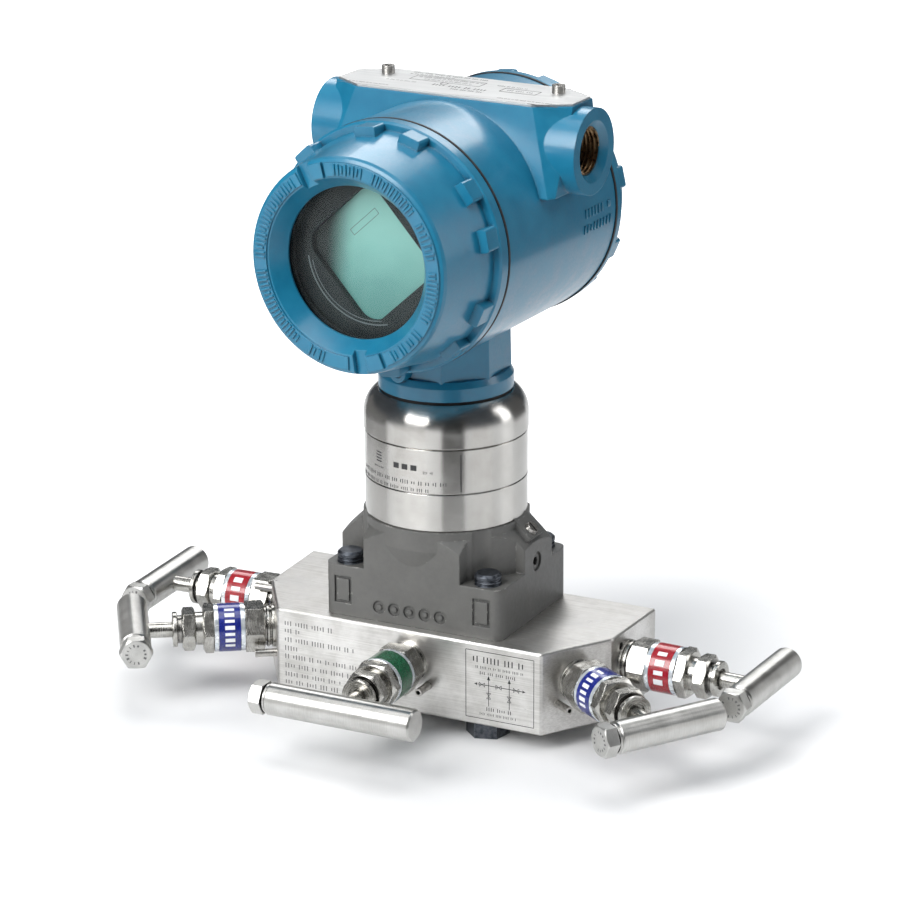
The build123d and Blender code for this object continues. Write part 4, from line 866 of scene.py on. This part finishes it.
# Dark rubber seals in the two gaps between covers and housing; they also paint the gaps' shade as dark lines
gapSealShades = {
    "radius": 50.95, "halfWidth": 0.62, "foot": 49.6, "crown": 0.05, "shoulder": 0.22, "steps": 128,
    "places": (("frontGapSealShade", -39.75, "display_cover"), ("rearGapSealShade", 53.0, "rear_cover")),
}
reach, half = gapSealShades["radius"], gapSealShades["halfWidth"]
shoulder, crown = reach - gapSealShades["shoulder"], reach - gapSealShades["crown"]
sealOutline = [
    (gapSealShades["foot"], -half * 0.9), (shoulder, -half), (crown, -half * 0.7), (reach, 0.0),
    (crown, half * 0.7), (shoulder, half), (gapSealShades["foot"], half * 0.9)]
# Painted shade: each near-black ring fills a gap and shows as its dark shaded line
for name, level, body in gapSealShades["places"]:
    bm = bmesh.new()
    spinOutline(bm, housingCentre + housingBack * (level * mm), housingBack, upward, sealOutline, math.tau,
                gapSealShades["steps"], merged=True)
    finishPiece(name, bm, body, slotMaterials["seal_rubber"])
print("gap seals made")

# Lines on the display glass, and painted highlights: lighter arcs on the rims of its bezel
displayLines = {
    "front": 58.76, "turn": 42.0, "depth": 0.04,
    "frame": (-0.5, 14.5, 10.5, 13.2), "frameLine": 0.22,
    "line": ((20.2, 6.0), (20.2, -13.0)), "lineWidth": 0.25,
}
# Painted highlights: lighter arcs on the lower left of the bezel's two rims, where light catches them
bezelRimHighlights = {
    "front": 61.8, "centre": (1.6, 1.6), "steps": 40, "colour": (0.13, 0.15, 0.16), "roughness": 0.3,
    "arcs": [(28.4, 0.5, 0.15, 188, 285), (26.9, 0.25, 0.12, 192, 280)],  # radius, width, depth, angles
}


def onDisplay(u, v, h):
    return housingCentre + (housingAcross * u + upward * v + frontward * (displayLines["front"] + h)) * mm


def onBezel(u, v, h):
    return housingCentre + (housingAcross * u + upward * v + frontward * (bezelRimHighlights["front"] + h)) * mm


def turnedPoint(point):
    a, b = point
    angle = math.radians(displayLines["turn"])
    return (a * math.cos(angle) - b * math.sin(angle), a * math.sin(angle) + b * math.cos(angle))


bm = bmesh.new()
addFrame(bm, onDisplay, [turnedPoint(corner) for corner in boxCorners(*displayLines["frame"])],
         displayLines["frameLine"], displayLines["depth"])
lineStart, lineEnd = displayLines["line"]
addStrip(bm, onDisplay, turnedPoint(lineStart), turnedPoint(lineEnd), displayLines["lineWidth"],
         displayLines["depth"])
finishPiece("displayLines", bm, "housing", inkGrey, smooth=False)
# Painted highlight colour for the bezel's rims
bezelRimHighlight = ink("BezelRimHighlight", bezelRimHighlights["colour"], bezelRimHighlights["roughness"])
bm = bmesh.new()
for radius, width, depth, low, high in bezelRimHighlights["arcs"]:
    addRing(bm, onBezel, bezelRimHighlights["centre"], radius, width, depth, bezelRimHighlights["steps"], low, high)
finishPiece("bezelRimHighlights", bm, "housing", bezelRimHighlight)
print("display lines made")

# Clear ends on the five coloured sleeves, plain white blocks on four of them, ticks round the cap screws
filmEnds = {
    "bands": ((12.75, 14.65), (23.85, 25.7)), "foot": 9.92, "side": 10.12, "crown": 10.14, "chamfer": 0.1,
    "steps": 64,
}
filmBlocks = {
    "counts": {"isolate": 7, "vent": 4, "equalise": 0}, "pitches": {"isolate": 15.5, "vent": 23},
    "evenHalf": 0.22, "oddHalf": 0.3,  # shares of the pitch
    "radii": (10.0, 10.4), "heights": (17.2, 21.3), "steps": 4,
}
screwTicks = {
    "places": 14, "skipped": (5, 9), "spans": (5, 9, 12), "inner": 3.3, "outer": (4.2, 4.5), "rise": 0.05,
    "headOut": 7.1, "steps": 2,
}
for valve, seat in valves.items():
    kind = valve.split("_")[-1]
    facing = (cameraward - seat["out"] * cameraward.dot(seat["out"])).normalized()
    bm = bmesh.new()
    for low, high in filmEnds["bands"]:
        endOutline = [
            (filmEnds["foot"], low), (filmEnds["side"], low + filmEnds["chamfer"]),
            (filmEnds["crown"], (low + high) / 2), (filmEnds["side"], high - filmEnds["chamfer"]),
            (filmEnds["foot"], high)]
        spinOutline(bm, seat["origin"], seat["out"], facing, endOutline, math.tau, filmEnds["steps"],
                    merged=True)
    finishPiece(valve + "_filmEnds", bm, "manifold", silver)
    count = filmBlocks["counts"][kind]
    if count:
        bm = bmesh.new()
        pitch = filmBlocks["pitches"][kind]
        for k in range(count):
            centre = (k - (count - 1) / 2) * pitch
            half = pitch * filmBlocks["oddHalf" if k % 2 else "evenHalf"]
            angles = (math.radians(centre - half), math.radians(centre + half))
            addArcBlock(bm, seat["origin"], seat["out"], facing, angles, filmBlocks["radii"],
                        filmBlocks["heights"], filmBlocks["steps"])
        finishPiece(valve + "_filmBlocks", bm, "manifold", inkWhite, smooth=False)
    barStart = handleBars["shifts"][kind] - handleBars["lengths"][kind] / 2 - screwTicks["headOut"]
    headFace = seat["origin"] + (seat["out"] * handleBars["out"] + seat["bar"] * barStart) * mm
    bm = bmesh.new()
    chance = random.Random(len(valve))
    for k in range(screwTicks["places"]):
        if k in screwTicks["skipped"]:
            continue
        angle = math.tau * k / screwTicks["places"]
        span = math.radians(chance.choice(screwTicks["spans"]))
        radii = (screwTicks["inner"], chance.choice(screwTicks["outer"]))
        addArcBlock(bm, headFace, -seat["bar"], seat["out"], (angle - span / 2, angle + span / 2), radii,
                    (0.0, screwTicks["rise"]), screwTicks["steps"])
    finishPiece(valve + "_screwTicks", bm, valve + "_handle", inkGrey, smooth=False)
print("valve films and ticks made")

# Camera
cameraSet = {
    "position": (0.64916, -1.28528, 0.57874), "target": (0.04842, -0.08308, 0.12944),
    "rollDegrees": -0.189, "lens": 143.87, "sensor": 36, "clipStart": 0.01, "clipEnd": 60,
}
camera = bpy.data.objects.new("Camera", bpy.data.cameras.new("Camera"))
camera.data.sensor_width = cameraSet["sensor"]
camera.data.lens = cameraSet["lens"]
camera.data.clip_start = cameraSet["clipStart"]
camera.data.clip_end = cameraSet["clipEnd"]
forward = Vector(cameraSet["target"]) - Vector(cameraSet["position"])
turn = forward.to_track_quat("-Z", "Y").to_matrix().to_4x4()
camera.matrix_world = (Matrix.Translation(cameraSet["position"]) @ turn
                       @ Matrix.Rotation(math.radians(cameraSet["rollDegrees"]), 4, "Z"))
scene.collection.objects.link(camera)
scene.camera = camera

# Floor: it keeps the shadow near the object and is lifted towards white further out, to the camera only
floorSet = {
    "half": 6.0, "level": -7.4 * mm, "sink": 0.05 * mm, "albedo": 0.78, "mottle": 0.02, "roughness": 0.6,
    "clearFrom": 0.11, "clearTo": 0.3, "clearLift": 0.62, "farFrom": 0.4, "farTo": 1.6, "farLift": 0.6,
}
bm = bmesh.new()
bmesh.ops.create_grid(bm, x_segments=8, y_segments=8, size=floorSet["half"],
                      matrix=Matrix.Translation((0, 0, floorSet["level"] - floorSet["sink"])))
mesh = bpy.data.meshes.new("Floor")
bm.to_mesh(mesh)
bm.free()
floor = bpy.data.objects.new("Floor", mesh)
scene.collection.objects.link(floor)
s = Shader("FloorSweep")
tone = s.noise(3, 2, 0.5)
white = s.principled(
    Base_Color=s.blendColour(tone, (floorSet["albedo"],) * 3, (floorSet["albedo"] + floorSet["mottle"],) * 3),
    Roughness=floorSet["roughness"])
glow = s.add("ShaderNodeEmission")
path = s.add("ShaderNodeLightPath")
spread = s.add("ShaderNodeVectorMath", operation="LENGTH")
s.link(s.coords, spread.inputs[0])
outward = s.ramp(spread.outputs["Value"], floorSet["clearFrom"], floorSet["clearTo"])
further = s.ramp(spread.outputs["Value"], floorSet["farFrom"], floorSet["farTo"])
lift = s.math("ADD", s.math("MULTIPLY", outward, floorSet["clearLift"]),
              s.math("MULTIPLY", further, floorSet["farLift"]))
s.link(s.math("MULTIPLY", path.outputs["Is Camera Ray"], lift), glow.inputs["Strength"])
both = s.add("ShaderNodeAddShader")
s.link(white.outputs[0], both.inputs[0])
s.link(glow.outputs[0], both.inputs[1])
mesh.materials.append(s.finish(both))

# World: white to the camera, a dim cool studio to everything else and dimmer still in reflections
worldSet = {"seen": 1.0, "light": 0.15, "dimmed": 0.09, "tint": (0.84, 0.97, 1.14)}
world = bpy.data.worlds.new("StudioWorld")
scene.world = world
world.use_nodes = True
tree = world.node_tree
tree.nodes.clear()
output = tree.nodes.new("ShaderNodeOutputWorld")
seen = tree.nodes.new("ShaderNodeBackground")
seen.inputs["Color"].default_value = (1, 1, 1, 1)
seen.inputs["Strength"].default_value = worldSet["seen"]
light = tree.nodes.new("ShaderNodeBackground")
light.inputs["Color"].default_value = (*worldSet["tint"], 1)
rays = tree.nodes.new("ShaderNodeLightPath")
dimmer = tree.nodes.new("ShaderNodeMath")
dimmer.operation = "MULTIPLY_ADD"
dimmer.inputs[1].default_value = -worldSet["dimmed"]
dimmer.inputs[2].default_value = worldSet["light"]
tree.links.new(rays.outputs["Is Glossy Ray"], dimmer.inputs[0])
tree.links.new(dimmer.outputs[0], light.inputs["Strength"])
mixed = tree.nodes.new("ShaderNodeMixShader")
tree.links.new(rays.outputs["Is Camera Ray"], mixed.inputs[0])
tree.links.new(light.outputs[0], mixed.inputs[1])
tree.links.new(seen.outputs[0], mixed.inputs[2])
tree.links.new(mixed.outputs[0], output.inputs["Surface"])

# Lamps, set round the object by their angle from the camera's side
cameraAngle = math.atan2(cameraward.y, cameraward.x)
middle = Vector((0, 0, 0.12))


def aim(angle, elevation, distance):
    # angle runs to the camera's right; both in degrees
    around = cameraAngle + math.radians(angle)
    rise = math.radians(elevation)
    return middle + Vector((math.cos(around) * math.cos(rise), math.sin(around) * math.cos(rise),
                            math.sin(rise))) * distance


lamps = {
    "keyLeft": {"angle": -44, "elevation": 38, "distance": 1.9, "size": (1.0, 1.3), "power": 40},
    "fillRight": {"angle": 92, "elevation": 20, "distance": 2.0, "size": (0.6, 1.5), "power": 8},
    "topSoft": {"angle": -20, "elevation": 82, "distance": 1.7, "size": (1.5, 1.1), "power": 16},
    "backSoft": {"angle": 171, "elevation": 41, "distance": 2.0, "size": (1.5, 0.75), "power": 16},
}
for name, values in lamps.items():
    data = bpy.data.lights.new(name, "AREA")
    data.shape = "RECTANGLE"
    data.size, data.size_y = values["size"]
    data.energy = values["power"]
    lamp = bpy.data.objects.new(name, data)
    lamp.location = aim(values["angle"], values["elevation"], values["distance"])
    lamp.rotation_euler = (middle - lamp.location).to_track_quat("-Z", "Y").to_euler()
    lamp.visible_camera = False
    scene.collection.objects.link(lamp)

# Studio cards seen only in reflections: upright walls, each a part of a ring round the object
cardSteps = 24
cards = {
    "cardDark": {"radius": 270, "angles": (-6, 24), "heights": (-7, 340), "shade": 0.03},
    "cardBright": {"radius": 340, "angles": (-74, -28), "heights": (-7, 100), "shade": 1.05},
    "cardBrightRight": {"radius": 340, "angles": (34, 64), "heights": (-7, 90), "shade": 1.0},
    "cardLeft": {"radius": 360, "angles": (-145, -86), "heights": (-7, 200), "shade": 0.2},
    "cardLow": {"radius": 620, "angles": (104, 140), "heights": (-7, 500), "shade": 0.1},
    "cardBackRight": {"radius": 1900, "angles": (104, 146), "heights": (240, 1300), "shade": 0.015},
    "cardFarFront": {"radius": 1600, "angles": (-18, 34), "heights": (100, 1500), "shade": 0.04},
}
for name, values in cards.items():
    bm = bmesh.new()
    first, last = (math.radians(degrees) for degrees in values["angles"])
    start = Vector((math.cos(cameraAngle + first), math.sin(cameraAngle + first), 0))
    edge = [(values["radius"], level) for level in values["heights"]]
    spinOutline(bm, Vector((0, 0, 0)), upward, start, edge, last - first, cardSteps)
    mesh = bpy.data.meshes.new(name)
    bm.to_mesh(mesh)
    bm.free()
    card = bpy.data.objects.new(name, mesh)
    scene.collection.objects.link(card)
    s = Shader("Shade_" + name)
    glow = s.add("ShaderNodeEmission")
    glow.inputs["Color"].default_value = (*(values["shade"],) * 3, 1)
    mesh.materials.append(s.finish(glow))
    card.visible_camera = False
    card.visible_diffuse = False
    card.visible_transmission = False
    card.visible_shadow = False

scene.view_settings.view_transform = "Standard"
print("stage, lamps and camera set")
